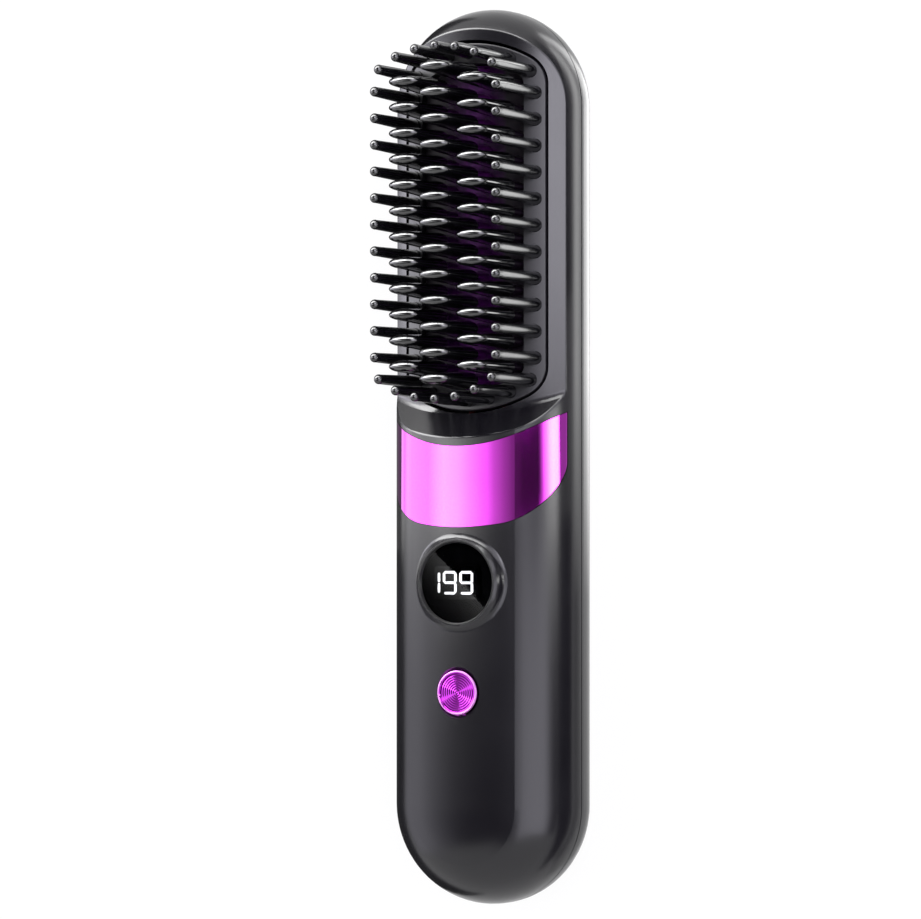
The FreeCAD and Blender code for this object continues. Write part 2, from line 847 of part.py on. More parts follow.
def bristle_spots():
    """Places round the frame: a straight column each side, then even steps round each end."""
    half_column = s.bristle_pitch.value * (COLUMN_BRISTLES - 1) / 2
    corners = [(flat(corner), bend) for corner, bend in pad_outline(-s.bristle_inset)]
    side = corners[0][0].y
    path = [Part.LineSegment(FreeCAD.Vector(half_column, side, 0), corners[0][0])]
    for index in range(3):
        radius, turn = corners[index][1]
        path.append(arc_between(corners[index][0], corners[index + 1][0], radius.value, turn))
    path.append(Part.LineSegment(corners[3][0], FreeCAD.Vector(half_column, -side, 0)))
    wire = Part.Wire([piece.toShape() for piece in path])
    end = wire.discretize(Number=END_STEPS + 1)[1:-1]
    places = [FreeCAD.Vector(-half_column + step * s.bristle_pitch.value, across_y, 0)
              for step in range(COLUMN_BRISTLES) for across_y in (side, -side)]
    return places + end + [FreeCAD.Vector(-spot.x, spot.y, 0) for spot in end]


def crown_height(y):
    crown = s.pad_crown.value
    return level(s.pad_level).value - crown + math.sqrt(crown ** 2 - y ** 2)


def bristle(spot):
    """One pin: a stub in the frame, a tapering stem and a small ball at the tip."""
    foot = crown_height(abs(spot.y) + s.bristle_base_radius.value)
    ball = s.bristle_ball_radius.value
    ball_centre = level(s.bristle_tip_level).value - ball
    neck = s.bristle_neck_radius.value
    up = FreeCAD.Vector(0, 0, 1)
    base = FreeCAD.Vector(0, 0, foot)
    stem = Part.makeCone(s.bristle_base_radius.value, neck, ball_centre - foot, base, up)
    tip = Part.makeSphere(ball, FreeCAD.Vector(0, 0, ball_centre))
    stub_length = s.bristle_stub_length.value
    stub = Part.makeCylinder(
        s.bristle_stub_radius.value, stub_length, FreeCAD.Vector(0, 0, foot - stub_length), up)
    pin = stem.fuse(tip).fuse(stub).removeSplitter().Solids[0]
    pin.translate(FreeCAD.Vector(s.head_centre.value + spot.x, spot.y, 0))
    return pin


def bristle_seat(spot):
    """The hole for one pin: a flat the stem stands on and a bore for its stub."""
    foot = crown_height(abs(spot.y) + s.bristle_base_radius.value)
    gap = s.bristle_hole_gap.value
    up = FreeCAD.Vector(0, 0, 1)
    depth = s.bristle_stub_length.value + gap
    bore = Part.makeCylinder(
        s.bristle_stub_radius.value + gap, depth, FreeCAD.Vector(0, 0, foot - depth), up)
    flat_seat = Part.makeCylinder(
        s.bristle_base_radius.value + gap, s.overrun.value, FreeCAD.Vector(0, 0, foot), up)
    seat = bore.fuse(flat_seat)
    seat.translate(FreeCAD.Vector(s.head_centre.value + spot.x, spot.y, 0))
    return seat


pin_places = bristle_spots()
guard_bristles = shaped("guard_bristles", Part.makeCompound([bristle(spot) for spot in pin_places]))
bristle_seats = shaped("bristle_seats", Part.makeCompound([bristle_seat(spot) for spot in pin_places]))
tray_screw_places = [
    (s.head_centre + s.tray_screw_reach, s.tray_screw_side),
    (s.head_centre + s.tray_screw_reach, -s.tray_screw_side),
    (s.head_centre - s.tray_screw_reach, s.tray_screw_side),
    (s.head_centre - s.tray_screw_reach, -s.tray_screw_side)]
tray_screw_length = s.heater_thick + s.film_thick + s.clamp_thick + s.screw_bite / 2
tray_floor_top = level(tray_low) + s.tray_floor
tray_screw_base = level(tray_low) + s.screw_head_height
tray_pilots = [
    column(f"tray_pilot_{number}", s.screw_radius + s.screw_gap, level(tray_low),
           tray_screw_base + tray_screw_length + s.screw_gap, x, y)
    for number, (x, y) in enumerate(tray_screw_places)]
bristle_frame = cut(
    "bristle_frame", frame_body, frame_window, frame_seat, bristle_seats, *tray_pilots)

plate_top = level(s.plate_level)
heating_plate = join(
    "heating_plate",
    head_slab("plate_form", [pad_outline(-s.frame_rim - s.plate_gap)], frame_low, plate_top),
    head_slab(
        "plate_flange", [pad_outline(s.frame_ledge - s.frame_rim - s.plate_gap)],
        frame_low, frame_low + s.plate_flange_thick))


def tooth_spots():
    """(x, y, tip level) of each tooth: a middle column and two side columns half a pitch along."""
    pitch = s.tooth_pitch.value
    middle = [(pitch * (step - (MID_TEETH - 1) / 2), 0, s.tooth_mid_level.value)
              for step in range(MID_TEETH)]
    sides = [(pitch * (step - (SIDE_TEETH - 1) / 2), side, s.tooth_side_level.value)
             for step in range(SIDE_TEETH) for side in (s.tooth_column.value, -s.tooth_column.value)]
    return middle + sides


def oval(width, thick, low, high):
    """An upright bar of oval section, its width along Y."""
    ellipse = Part.Ellipse(FreeCAD.Vector(0, width / 2, low), FreeCAD.Vector(thick / 2, 0, low),
                           FreeCAD.Vector(0, 0, low))
    face = Part.Face(Part.Wire([ellipse.toShape()]))
    return face.extrude(FreeCAD.Vector(0, 0, high - low))


def crowned_oval(width, thick, low, high, drop):
    """The same bar with its top rounded across the width."""
    radius = ((width / 2) ** 2 + drop ** 2) / (2 * drop)
    reach = thick * 2
    dome = Part.makeCylinder(
        radius, reach * 2, FreeCAD.Vector(-reach, 0, high - radius), FreeCAD.Vector(1, 0, 0))
    foot = Part.makeBox(
        reach * 2, width * 2, high - drop - low, FreeCAD.Vector(-reach, -width, low))
    return oval(width, thick, low, high + drop).common(dome.fuse(foot)).removeSplitter().Solids[0]


def moved(shape, spot):
    shape.translate(FreeCAD.Vector(s.head_centre.value + spot[0], spot[1], 0))
    return shape


def tooth_fin(spot):
    tip = level(spot[2]).value
    inner = s.cap_wall.value * 2 + s.cap_gap.value * 2
    return moved(oval(s.tooth_width.value - inner, s.tooth_thick.value - inner,
                      plate_top.value, tip - s.cap_roof.value), spot)


def tooth_cap(spot):
    tip = level(spot[2]).value
    width, thick = s.tooth_width.value, s.tooth_thick.value
    low = tip - s.cap_length.value
    outer = crowned_oval(width, thick, low, tip, s.tooth_drop.value)
    walls = s.cap_wall.value * 2
    roof = tip - s.cap_roof.value + s.cap_gap.value
    hollow = oval(width - walls, thick - walls, low - s.overrun.value, roof)
    return moved(outer.cut(hollow), spot)


teeth = tooth_spots()
heating_fins = shaped("heating_fins", Part.makeCompound([tooth_fin(spot) for spot in teeth]))
tooth_caps = shaped("tooth_caps", Part.makeCompound([
    solid for spot in teeth for solid in tooth_cap(spot).Solids]))

# Heater stack under the plate, clamped up by the tray.

heater_top = frame_low
heater_low = heater_top - s.heater_thick
film_low = heater_low - s.film_thick
heater_centres = [s.head_centre + (s.heater_spacing + s.heater_length) / 2,
                  s.head_centre - (s.heater_spacing + s.heater_length) / 2]
heater_near_end = s.head_centre - s.heater_spacing / 2 - s.heater_length
heater_strips = join("heater_strips", *[
    block(f"heater_strip_{number}", s.heater_length, s.heater_width, heater_low, heater_top, x)
    for number, x in enumerate(heater_centres)])
heater_film = join("heater_film", *[
    block(f"heater_film_{number}", s.heater_length + s.clamp_margin, s.heater_width + s.clamp_margin,
          film_low, heater_low, x) for number, x in enumerate(heater_centres)])
clamp_length = s.heater_length * 2 + s.heater_spacing + s.clamp_margin
clamp_width = s.heater_width + s.clamp_margin * 2
heater_clamp = block(
    "heater_clamp", clamp_length, clamp_width, tray_floor_top, film_low, s.head_centre)
tray_form = head_slab("tray_form", [flange_outline], level(tray_low), frame_low)
tray_well = head_slab(
    "tray_well", [pad_outline(s.frame_ledge - s.frame_rim)], tray_floor_top, frame_low + s.overrun)
tray_notch = block(
    "tray_notch", s.pad_length / 2, s.tray_notch_width, tray_floor_top, frame_low + s.overrun,
    s.head_centre - s.pad_length / 2)
tray_counterbores = [
    column(f"tray_counterbore_{number}", s.screw_head_radius + s.screw_gap, level(tray_low) - s.overrun,
           tray_screw_base, x, y) for number, (x, y) in enumerate(tray_screw_places)]
tray_holes = [
    column(f"tray_hole_{number}", s.screw_radius + s.screw_gap,
           level(tray_low), frame_low + s.overrun, x, y)
    for number, (x, y) in enumerate(tray_screw_places)]
heater_tray = cut("heater_tray", tray_form, tray_well, tray_notch, *tray_counterbores, *tray_holes)
tray_screws = copies(
    "tray_screws",
    screw("tray_screw", s.screw_radius, tray_screw_length, s.screw_head_radius, s.screw_head_height),
    spots(*[(x, y, tray_screw_base) for x, y in tray_screw_places]))


def lying(label, radius, length, x, z):
    """A round bar lying across the body, centred on Y = 0."""
    bar = doc.addObject("Part::Cylinder", label)
    bind(bar, Radius=radius, Height=length)
    bar.Placement = FreeCAD.Placement(
        FreeCAD.Vector(0, 0, 0), FreeCAD.Rotation(FreeCAD.Vector(1, 0, 0), -90))
    return place(bar, x=x, y=-length / 2, z=z)


sensor_z = heater_top - s.sensor_radius
thermistor = lying(
    "thermistor", s.sensor_radius, s.sensor_length, s.head_centre - s.sensor_offset, sensor_z)
thermal_fuse = lying(
    "thermal_fuse", s.sensor_radius, s.fuse_length, s.head_centre + s.sensor_offset, sensor_z)

# Display: bezel ring and lens in the raised seat, the lit module on the board below.

bezel_outer = s.bezel_radius - s.bezel_gap
bezel_inner = lens_radius + s.lens_gap
bezel_top = level(s.bump_level)
display_bezel = turned("display_bezel", [
    ((bezel_inner, lens_seat), None), ((bezel_outer, lens_seat), None), ((bezel_outer, bezel_top), None),
    ((bezel_outer - s.bezel_lip, bezel_top), None), ((bezel_inner, bezel_top - s.bezel_slope), None)],
    x=display_x)
display_lens = column("display_lens", lens_radius, lens_seat, lens_seat + s.lens_thick, display_x)
module_top = lens_seat - s.module_gap
display_module = block(
    "display_module", s.module_length, s.module_width, board_top, module_top, display_x)


def segment(length, stroke, thick):
    """One lit bar of a digit, pointed at both ends, lying along X."""
    half, side = length / 2, stroke / 2
    corners = [(-half, 0), (-half + side, -side), (half - side, -side),
               (half, 0), (half - side, side), (-half + side, side)]
    points = [FreeCAD.Vector(x, y, 0) for x, y in corners + corners[:1]]
    return Part.Face(Part.makePolygon(points)).extrude(FreeCAD.Vector(0, 0, thick))


def digit_bars(centre, names):
    """The named bars of a seven-bar digit; up is +X and rightward is -Y."""
    high, wide = s.digit_height.value, s.digit_width.value
    stroke, gap = s.digit_stroke.value, s.digit_gap.value
    rise, reach = (high - stroke) / 2, (wide - stroke) / 2
    upright, level_bar = rise - gap, wide - stroke - gap
    layout = {
        "top": (level_bar, 90, rise, 0), "middle": (level_bar, 90, 0, 0),
        "bottom": (level_bar, 90, -rise, 0),
        "upper_right": (upright, 0, rise / 2, reach), "lower_right": (upright, 0, -rise / 2, reach),
        "upper_left": (upright, 0, rise / 2, -reach), "lower_left": (upright, 0, -rise / 2, -reach)}
    bars = []
    for name in names:
        length, angle, up, right = layout[name]
        bar = segment(length, stroke, s.digit_thick.value)
        bar.rotate(FreeCAD.Vector(0, 0, 0), FreeCAD.Vector(0, 0, 1), angle)
        bar.translate(FreeCAD.Vector(display_x.value + up, -(centre + right), module_top.value))
        bars.append(bar)
    return bars


nine = ["top", "upper_left", "upper_right", "middle", "lower_right", "bottom"]
one = ["upper_right", "lower_right"]
digits = []
for step, names in ((-3, one), (-1, nine), (1, nine)):
    digits += digit_bars(s.digit_shift.value + step * s.digit_pitch.value / 2, names)
display_digits = shaped("display_digits", Part.makeCompound(digits))

# Power button: a turned metal cap over the switch stem, held in by its flange.

button_top = level(s.button_level)
face_level = button_top - s.button_dish
ring_start = s.button_radius - s.button_rim - s.button_bevel - s.button_ring_step
button_profile = [
    ((ZERO, level(s.stem_level)), None), ((s.button_post_radius, level(s.stem_level)), None),
    ((s.button_post_radius, level(s.button_flange_level) - s.button_flange_thick), None),
    ((s.button_flange_radius, level(s.button_flange_level) - s.button_flange_thick), None),
    ((s.button_flange_radius, level(s.button_flange_level)), None),
    ((s.button_radius, level(s.button_flange_level)), None),
    ((s.button_radius, button_top - s.button_bevel), None),
    ((s.button_radius - s.button_bevel, button_top), None),
    ((s.button_radius - s.button_rim, button_top), None),
    ((s.button_radius - s.button_rim - s.button_bevel, face_level), None)]
for ring in range(BUTTON_RINGS):
    valley = ring_start - s.button_ring_step * ring
    button_profile.append(((valley + s.button_ring_step / 2, face_level - s.button_ring_depth), None))
    button_profile.append(((valley, face_level), None))
button_profile.append(((ZERO, face_level), None))
power_button = turned("power_button", button_profile, x=button_x)

switch_top = board_top + s.switch_height
dome_foot = board_top + s.switch_floor
switch_housing = cut(
    "switch_housing",
    block("switch_block", s.switch_size, s.switch_size, board_top, switch_top, button_x),
    column("switch_bore", s.stem_radius + s.stem_gap, dome_foot, switch_top + s.overrun, button_x))
stem_low = dome_foot + s.dome_height
switch_stem = column("switch_stem", s.stem_radius, stem_low, level(s.stem_level), button_x)
switch_dome = turned("switch_dome", [
    ((s.dome_radius - s.dome_thick * 2, dome_foot), None), ((s.dome_radius, dome_foot), None),
    ((s.dome_radius / 2, stem_low), None), ((ZERO, stem_low), None),
    ((ZERO, stem_low - s.dome_thick), None),
    ((s.dome_radius / 2 - s.dome_thick, stem_low - s.dome_thick), None)], x=button_x)

# Control board above the cells, hung from the front casing by two screws.

board_low = level(s.board_level)
board_outline = rounded_rectangle(
    -s.board_start, -s.board_end, -s.board_width / 2, s.board_width / 2, s.board_corner)
control_board = cut(
    "control_board", slab("board_form", [board_outline], board_low, board_top),
    *[column(f"board_hole_{number}", s.screw_radius + s.screw_gap, board_low - s.overrun,
             board_top + s.overrun, x) for number, x in enumerate(board_screw_places)])
board_screws = copies(
    "board_screws",
    screw("board_screw", s.screw_radius, s.board_thick + s.screw_bite / 2, s.screw_head_radius,
          s.screw_head_height),
    spots(*[(x, ZERO, board_low) for x in board_screw_places]))
controller_chip = block(
    "controller_chip", s.chip_size, s.chip_size, board_top, board_top + s.chip_height,
    -s.chip_place, s.chip_side)
heater_transistors = join("heater_transistors", *[
    block(f"transistor_{number}", s.transistor_length, s.transistor_width, board_top,
          board_top + s.transistor_height, -s.transistor_place, y)
    for number, y in enumerate([s.transistor_side, -s.transistor_side])])
charge_coil = block(
    "charge_coil", s.coil_size, s.coil_size, board_top, board_top + s.coil_height,
    -s.coil_place, -s.coil_side)

# Battery: two cells side by side, joined by tabs at their ends.

cell_profile = [
    ((ZERO, ZERO), None), ((s.cell_radius, ZERO), None),
    ((s.cell_radius, s.cell_length - s.cell_bead_place - s.cell_bead_length), None),
    ((s.cell_radius - s.cell_bead, s.cell_length - s.cell_bead_place - s.cell_bead_length / 2), None),
    ((s.cell_radius, s.cell_length - s.cell_bead_place), None),
    ((s.cell_radius, s.cell_length), None), ((ZERO, s.cell_length), None)]
cell_form = turned("cell_form", cell_profile)
cell_form.Placement = FreeCAD.Placement(
    FreeCAD.Vector(0, 0, 0), FreeCAD.Rotation(FreeCAD.Vector(0, 1, 0), 90))
place(cell_form, x=-s.cell_start, z=cell_axis)
battery_cells = copies(
    "battery_cells", cell_form,
    spots((ZERO, s.cell_spacing / 2, ZERO), (ZERO, -s.cell_spacing / 2, ZERO)))
cell_end = s.cell_length - s.cell_start
tab_width = s.cell_spacing + s.tab_height
cell_tabs = join("cell_tabs", *[
    block(f"cell_tab_{number}", s.tab_thick, tab_width, cell_axis - s.tab_height / 2,
          cell_axis + s.tab_height / 2, x)
    for number, x in enumerate([-s.cell_start - s.tab_thick / 2, cell_end + s.tab_thick / 2])])
cell_top = cell_axis + s.cell_radius
foam_low = board_low - s.foam_thick
battery_foam = join("battery_foam", *[
    block(f"foam_{number}", s.foam_length, s.foam_width, foam_low, board_low, cell_middle, y)
    for number, y in enumerate([s.cell_spacing / 2, -s.cell_spacing / 2])])

# Charging socket at the tail, on its own small board.

mouth_x = -s.socket_mouth
socket_back = mouth_x + s.socket_length
bore_outline = slot_outline(s.socket_width - s.socket_wall * 2, s.socket_height - s.socket_wall * 2)
socket_shell = cut(
    "socket_shell",
    across("socket_form", slot_outline(s.socket_width, s.socket_height), mouth_x, socket_back, socket_z),
    across("socket_bore", bore_outline, mouth_x - s.overrun, socket_back + s.overrun, socket_z))
plug_inset = s.socket_wall * 2 + s.tongue_gap * 2
socket_tongue = join(
    "socket_tongue",
    across("tongue_back", slot_outline(s.socket_width - plug_inset, s.socket_height - plug_inset),
           socket_back - s.tongue_back, socket_back, socket_z),
    across("tongue_blade", rectangle(
        -s.tongue_width / 2, s.tongue_width / 2, -s.tongue_thick / 2, s.tongue_thick / 2),
        mouth_x + s.tongue_inset, socket_back - s.tongue_back / 2, socket_z))
charging_board = block(
    "charging_board", s.charge_board_start - s.charge_board_end, s.charge_board_width,
    charge_low, charge_top, charge_middle)

# Leads: round wires bent along a path of straight runs.

def lead(points, radius, bend):
    """A wire swept along straight runs joined by arcs of the bend radius."""
    edges = []
    start = points[0]
    for before, corner, after in zip(points, points[1:], points[2:]):
        toward = (before - corner).normalize()
        away = (after - corner).normalize()
        half = math.acos(max(-1.0, min(1.0, toward.dot(away)))) / 2
        back = bend / math.tan(half)
        first, last = corner + toward * back, corner + away * back
        middle = (toward + away).normalize()
        crest = corner + middle * (bend / math.sin(half) - bend)
        edges.append(Part.makeLine(start, first))
        edges.append(Part.Arc(first, crest, last).toShape())
        start = last
    edges.append(Part.makeLine(start, points[-1]))
    spine = Part.Wire(edges)
    ring = Part.Wire([Part.makeCircle(radius, points[0], points[1] - points[0])])
    return spine.makePipeShell([ring], True, False)


def leads(label, paths):
    shapes = [lead(spots(*path), s.lead_radius.value, s.lead_bend.value) for path in paths]
    return shaped(label, Part.makeCompound(shapes))


lead_on_board = board_top + s.lead_radius
heater_middle = (heater_top + heater_low) / 2
lead_drop = -s.board_end + s.lead_run * 2
heater_leads = leads("heater_leads", [
    [(-s.board_end - s.lead_run, side, lead_on_board), (lead_drop, side, lead_on_board),
     (lead_drop + s.lead_run * 3, side, heater_middle), (heater_near_end, side, heater_middle)]
    for side in (s.lead_side, -s.lead_side)])
plus_x = cell_end + s.tab_thick
minus_x = -s.cell_start - s.tab_thick
battery_leads = leads("battery_leads", [
    [(plus_x, s.cell_spacing / 2, cell_axis), (plus_x + s.lead_clear, s.cell_spacing / 2, cell_axis),
     (plus_x + s.lead_clear, s.cell_spacing / 2, lead_on_board),
     (-s.board_end - s.lead_run, s.cell_spacing / 2, lead_on_board)],
    [(minus_x, -s.cell_spacing / 2, cell_axis), (minus_x - s.lead_clear, -s.cell_spacing / 2, cell_axis),
     (minus_x - s.lead_clear, -s.cell_spacing / 2, lead_on_board),
     (-s.board_start + s.lead_run, -s.cell_spacing / 2, lead_on_board)]])
charge_lead_x = -s.charge_board_end - s.lead_radius * 2
charging_leads = leads("charging_leads", [
    [(charge_lead_x, side, charge_top), (charge_lead_x, side, lead_on_board),
     (-s.board_start + s.lead_run, side, lead_on_board)]
    for side in (s.lead_side / 2, -s.lead_side / 2)])

PIECES = [
    front_casing, rear_cover, trim_band, bristle_frame, guard_bristles, heating_plate, heating_fins,
    tooth_caps, heater_strips, heater_film, heater_clamp, heater_tray, tray_screws, thermistor,
    thermal_fuse, display_bezel, display_lens, display_module, display_digits, power_button,
    switch_housing, switch_stem, switch_dome, control_board, board_screws, controller_chip,
    heater_transistors, charge_coil, battery_cells, cell_tabs, battery_foam, socket_shell,
    socket_tongue, charging_board, heater_leads, battery_leads, charging_leads, case_screws]

doc.recompute()
for item in doc.Objects:
    if "Invalid" in item.State or "Error" in item.State:
        raise RuntimeError(f"{item.Label} did not build: {item.State}")
os.makedirs("parts", exist_ok=True)
for piece in PIECES:
    shape = piece.Shape
    if shape.isNull() or not shape.isValid() or shape.Volume <= 0:
        raise RuntimeError(f"{piece.Label} has no sound shape")
    shape.exportStep(f"parts/{piece.Label}.step")
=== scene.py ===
import math

import bmesh
import bpy
from mathutils import Matrix, Vector


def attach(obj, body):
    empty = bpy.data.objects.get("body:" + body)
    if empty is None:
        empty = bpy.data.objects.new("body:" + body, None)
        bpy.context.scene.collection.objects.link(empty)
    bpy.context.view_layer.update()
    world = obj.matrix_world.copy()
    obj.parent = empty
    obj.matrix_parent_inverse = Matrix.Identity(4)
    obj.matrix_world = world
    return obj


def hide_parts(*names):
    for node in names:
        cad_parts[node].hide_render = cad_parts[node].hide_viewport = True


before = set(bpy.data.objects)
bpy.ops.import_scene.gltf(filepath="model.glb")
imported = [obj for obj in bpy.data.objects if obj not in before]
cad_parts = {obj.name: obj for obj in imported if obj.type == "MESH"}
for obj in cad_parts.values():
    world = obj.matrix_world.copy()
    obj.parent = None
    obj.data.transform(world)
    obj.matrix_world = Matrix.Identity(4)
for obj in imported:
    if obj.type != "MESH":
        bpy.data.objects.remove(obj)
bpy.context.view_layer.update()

bpy.context.scene.view_settings.view_transform = "Standard"

# Camera: a long lens above the brush, turned a quarter so that the brush head points up the picture,
# and leaning 28 degrees off the upright towards the right-hand side of the brush.

PICTURE_WIDTH = 921
PICTURE_HEIGHT = 919
FOCAL_PIXELS = 3786
OPTICAL_AXIS = (492.2, 539.1)
CAMERA_PLACE = Vector((-0.01746, -0.3834, 0.7215))
CAMERA_LEAN = math.radians(28.42)
SENSOR_WIDTH = 36.0

camera_data = bpy.data.cameras.new("camera")
camera_data.sensor_fit = "HORIZONTAL"
camera_data.sensor_width = SENSOR_WIDTH
camera_data.lens = FOCAL_PIXELS * SENSOR_WIDTH / PICTURE_WIDTH
camera_data.shift_x = (PICTURE_WIDTH / 2 - OPTICAL_AXIS[0]) / PICTURE_WIDTH
camera_data.shift_y = (OPTICAL_AXIS[1] - PICTURE_HEIGHT / 2) / PICTURE_WIDTH
camera = bpy.data.objects.new("camera", camera_data)
lean_cos, lean_sin = math.cos(CAMERA_LEAN), math.sin(CAMERA_LEAN)
camera.matrix_world = Matrix((
    (0, 1, 0, CAMERA_PLACE.x),
    (-lean_cos, 0, -lean_sin, CAMERA_PLACE.y),
    (-lean_sin, 0, lean_cos, CAMERA_PLACE.z),
    (0, 0, 0, 1)))
bpy.context.scene.collection.objects.link(camera)
bpy.context.scene.camera = camera

# Studio floor: a plain white sheet that the brush lies on. It shows white to the lens and in
# reflections, and keeps a small share of the light that falls on it, so the brush's shadow stays.

FLOOR_REACH = 3.0
SHEET_CORNERS = ((-1, -1), (1, -1), (1, 1), (-1, 1))
FLOOR_GLOW = 0.93
FLOOR_PAINT_SEEN = 0.09
FLOOR_PAINT = 0.8


def linked(name, mesh):
    piece = bpy.data.objects.new(name, mesh)
    bpy.context.scene.collection.objects.link(piece)
    return piece


def mesh_of(name, points, faces):
    mesh = bpy.data.meshes.new(name)
    mesh.from_pydata(points, [], faces)
    mesh.update()
    return mesh


def bare_material(name):
    material = bpy.data.materials.new(name)
    material.use_nodes = True
    material.node_tree.nodes.clear()
    return material


def plug(tree, node, inputs):
    """Fills a node's inputs with plain values, other nodes or their outputs."""
    for name, value in inputs.items():
        if isinstance(value, bpy.types.Node):
            value = value.outputs[0]
        if isinstance(value, bpy.types.NodeSocket):
            tree.links.new(value, node.inputs[name])
        else:
            node.inputs[name].default_value = value


def added(tree, kind, inputs, **settings):
    """A new node with its settings made and its inputs filled."""
    node = tree.nodes.new(kind)
    for name, value in settings.items():
        setattr(node, name, value)
    plug(tree, node, inputs)
    return node


def calculated(tree, operation, first, second=0.0):
    return added(tree, "ShaderNodeMath", {0: first, 1: second}, operation=operation)


def seen_rays(tree):
    """1 for rays from the lens, from gloss and through glass, 0 for the light that falls on things."""
    path = added(tree, "ShaderNodeLightPath", {}).outputs
    mirrored = calculated(tree, "MAXIMUM", path["Is Glossy Ray"], path["Is Transmission Ray"])
    return calculated(tree, "MAXIMUM", path["Is Camera Ray"], mirrored)


def grey(value):
    return (value, value, value, 1)


floor_white = bare_material("floor_white")
tree = floor_white.node_tree
glow = added(tree, "ShaderNodeEmission", {"Strength": FLOOR_GLOW})
paint_seen = added(tree, "ShaderNodeBsdfDiffuse", {"Color": grey(FLOOR_PAINT_SEEN)})
sheet_seen = added(tree, "ShaderNodeAddShader", {0: glow, 1: paint_seen})
paint = added(tree, "ShaderNodeBsdfDiffuse", {"Color": grey(FLOOR_PAINT)})
sheet = added(tree, "ShaderNodeMixShader", {0: seen_rays(tree), 1: paint, 2: sheet_seen})
added(tree, "ShaderNodeOutputMaterial", {"Surface": sheet})
floor_corners = [(side * FLOOR_REACH, end * FLOOR_REACH, 0) for side, end in SHEET_CORNERS]
floor = linked("floor", mesh_of("floor", floor_corners, [(0, 1, 2, 3)]))
floor.data.materials.append(floor_white)

# Light tent: rounds of diffusing sheet arched over the brush, out of the lens's sight. The wide tent lights
# it from the left and the upper right. Inside it, two narrow cards hang over the trim band, which mirrors
# them from bright to dark and back, and one card over the head picks out the edges of its deck.

TENT_RADIUS = 1.2
TENT_ENDS = (-0.72, 1.1)
TENT_LIGHT = [
    (-90, 0.5), (-84, 1.3), (-64, 1.8), (-48, 0.95), (-32, 0.22), (-18, 0.03), (10, 0.02), (18, 0.2),
    (25, 2.7), (40, 3.1), (66, 3.3), (74, 1.8), (81, 0.15), (90, 0.1)]
BAND_CARD_RADIUS = 0.4
BAND_CARD_ENDS = (-0.0172, 0.0245)
BAND_CARD_LIGHT = [
    (-88, 2.0), (-78, 4.2), (-66, 4.5), (-52, 4.4), (-42.5, 7.6), (-38, 8.7), (-26.8, 7.5), (-17, 4.6),
    (-8.2, 2.6), (0.5, 1.25), (8, 0.68), (18, 0.14), (30, 0.06), (54, 0.06)]
BAND_EDGE_ENDS = (-0.009, 0.0245)
BAND_EDGE_LIGHT = [(54, 0.06), (57, 0.3), (62, 1.5), (69, 6.0), (75, 12.0), (80, 14.0), (89.5, 12.0)]
DECK_CARD_RADIUS = 1.16
DECK_CARD_ENDS = (0.06, 0.4)
DECK_CARD_LIGHT = [
    (-90, 3.0), (-84, 6.5), (-72, 6.5), (-58, 3.4), (-46, 2.2), (-34, 0.9), (-20, 0.15), (6, 0.05),
    (14, 0.8), (22, 8.5), (36, 8.5), (48, 3.3), (62, 1.5), (74, 0.1), (90, 0.1)]
ARCH_STEPS = 60
COOL_WHITE = (0.92, 0.9, 1.0)
PLAIN_WHITE = (1.0, 1.0, 1.0)


def glowing(name, mesh, brightness):
    """A studio sheet that gives off light of its own, out of the lens's sight and casting no shadow."""
    sheet = linked(name, mesh)
    material = bare_material(name)
    tree = material.node_tree
    glow = added(tree, "ShaderNodeEmission", {"Strength": brightness})
    added(tree, "ShaderNodeOutputMaterial", {"Surface": glow})
    mesh.materials.append(material)
    sheet.visible_camera = False
    sheet.visible_shadow = False
    return sheet, tree, glow


def between(tree, value, span, reach):
    """Turns the values across a span into values from the one end of the reach to the other."""
    return added(tree, "ShaderNodeMapRange", {
        "Value": value, "From Min": span[0], "From Max": span[1], "To Min": reach[0], "To Max": reach[1]})


def own_place(tree):
    """Where a point lies in its piece's own coordinates."""
    return added(tree, "ShaderNodeTexCoord", {}).outputs["Object"]


def own_axes(tree):
    return added(tree, "ShaderNodeSeparateXYZ", {0: own_place(tree)}).outputs


def arched_sheet(name, radius, ends, light, tint):
    """A round along the brush. Its light is the brightness at degrees from straight up, rightwards."""
    first, last = math.radians(light[0][0]), math.radians(light[-1][0])
    points = []
    for step in range(ARCH_STEPS + 1):
        angle = first + (last - first) * step / ARCH_STEPS
        points += [(end, -radius * math.sin(angle), radius * math.cos(angle)) for end in ends]
    faces = [(2 * step, 2 * step + 1, 2 * step + 3, 2 * step + 2) for step in range(ARCH_STEPS)]
    brightest = max(value for degrees, value in light)
    sheet, tree, glow = glowing(name, mesh_of(name, points, faces), brightest)
    axes = own_axes(tree)
    rightward = calculated(tree, "MULTIPLY", axes["Y"], -1.0)
    lean = calculated(tree, "ARCTAN2", rightward, axes["Z"])
    ramp = added(tree, "ShaderNodeValToRGB", {"Fac": between(tree, lean, (first, last), (0.0, 1.0))})
    stops = ramp.color_ramp.elements
    while len(stops) < len(light):
        stops.new(1.0)
    for stop, (degrees, value) in zip(stops, light):
        stop.position = (math.radians(degrees) - first) / (last - first)
        stop.color = [channel * value / brightest for channel in tint] + [1]
    plug(tree, glow, {"Color": ramp})
    return sheet


arched_sheet("light_tent", TENT_RADIUS, TENT_ENDS, TENT_LIGHT, COOL_WHITE)
arched_sheet("band_card", BAND_CARD_RADIUS, BAND_CARD_ENDS, BAND_CARD_LIGHT, PLAIN_WHITE)
arched_sheet("band_edge_card", BAND_CARD_RADIUS, BAND_EDGE_ENDS, BAND_EDGE_LIGHT, PLAIN_WHITE)
arched_sheet("deck_card", DECK_CARD_RADIUS, DECK_CARD_ENDS, DECK_CARD_LIGHT, COOL_WHITE)

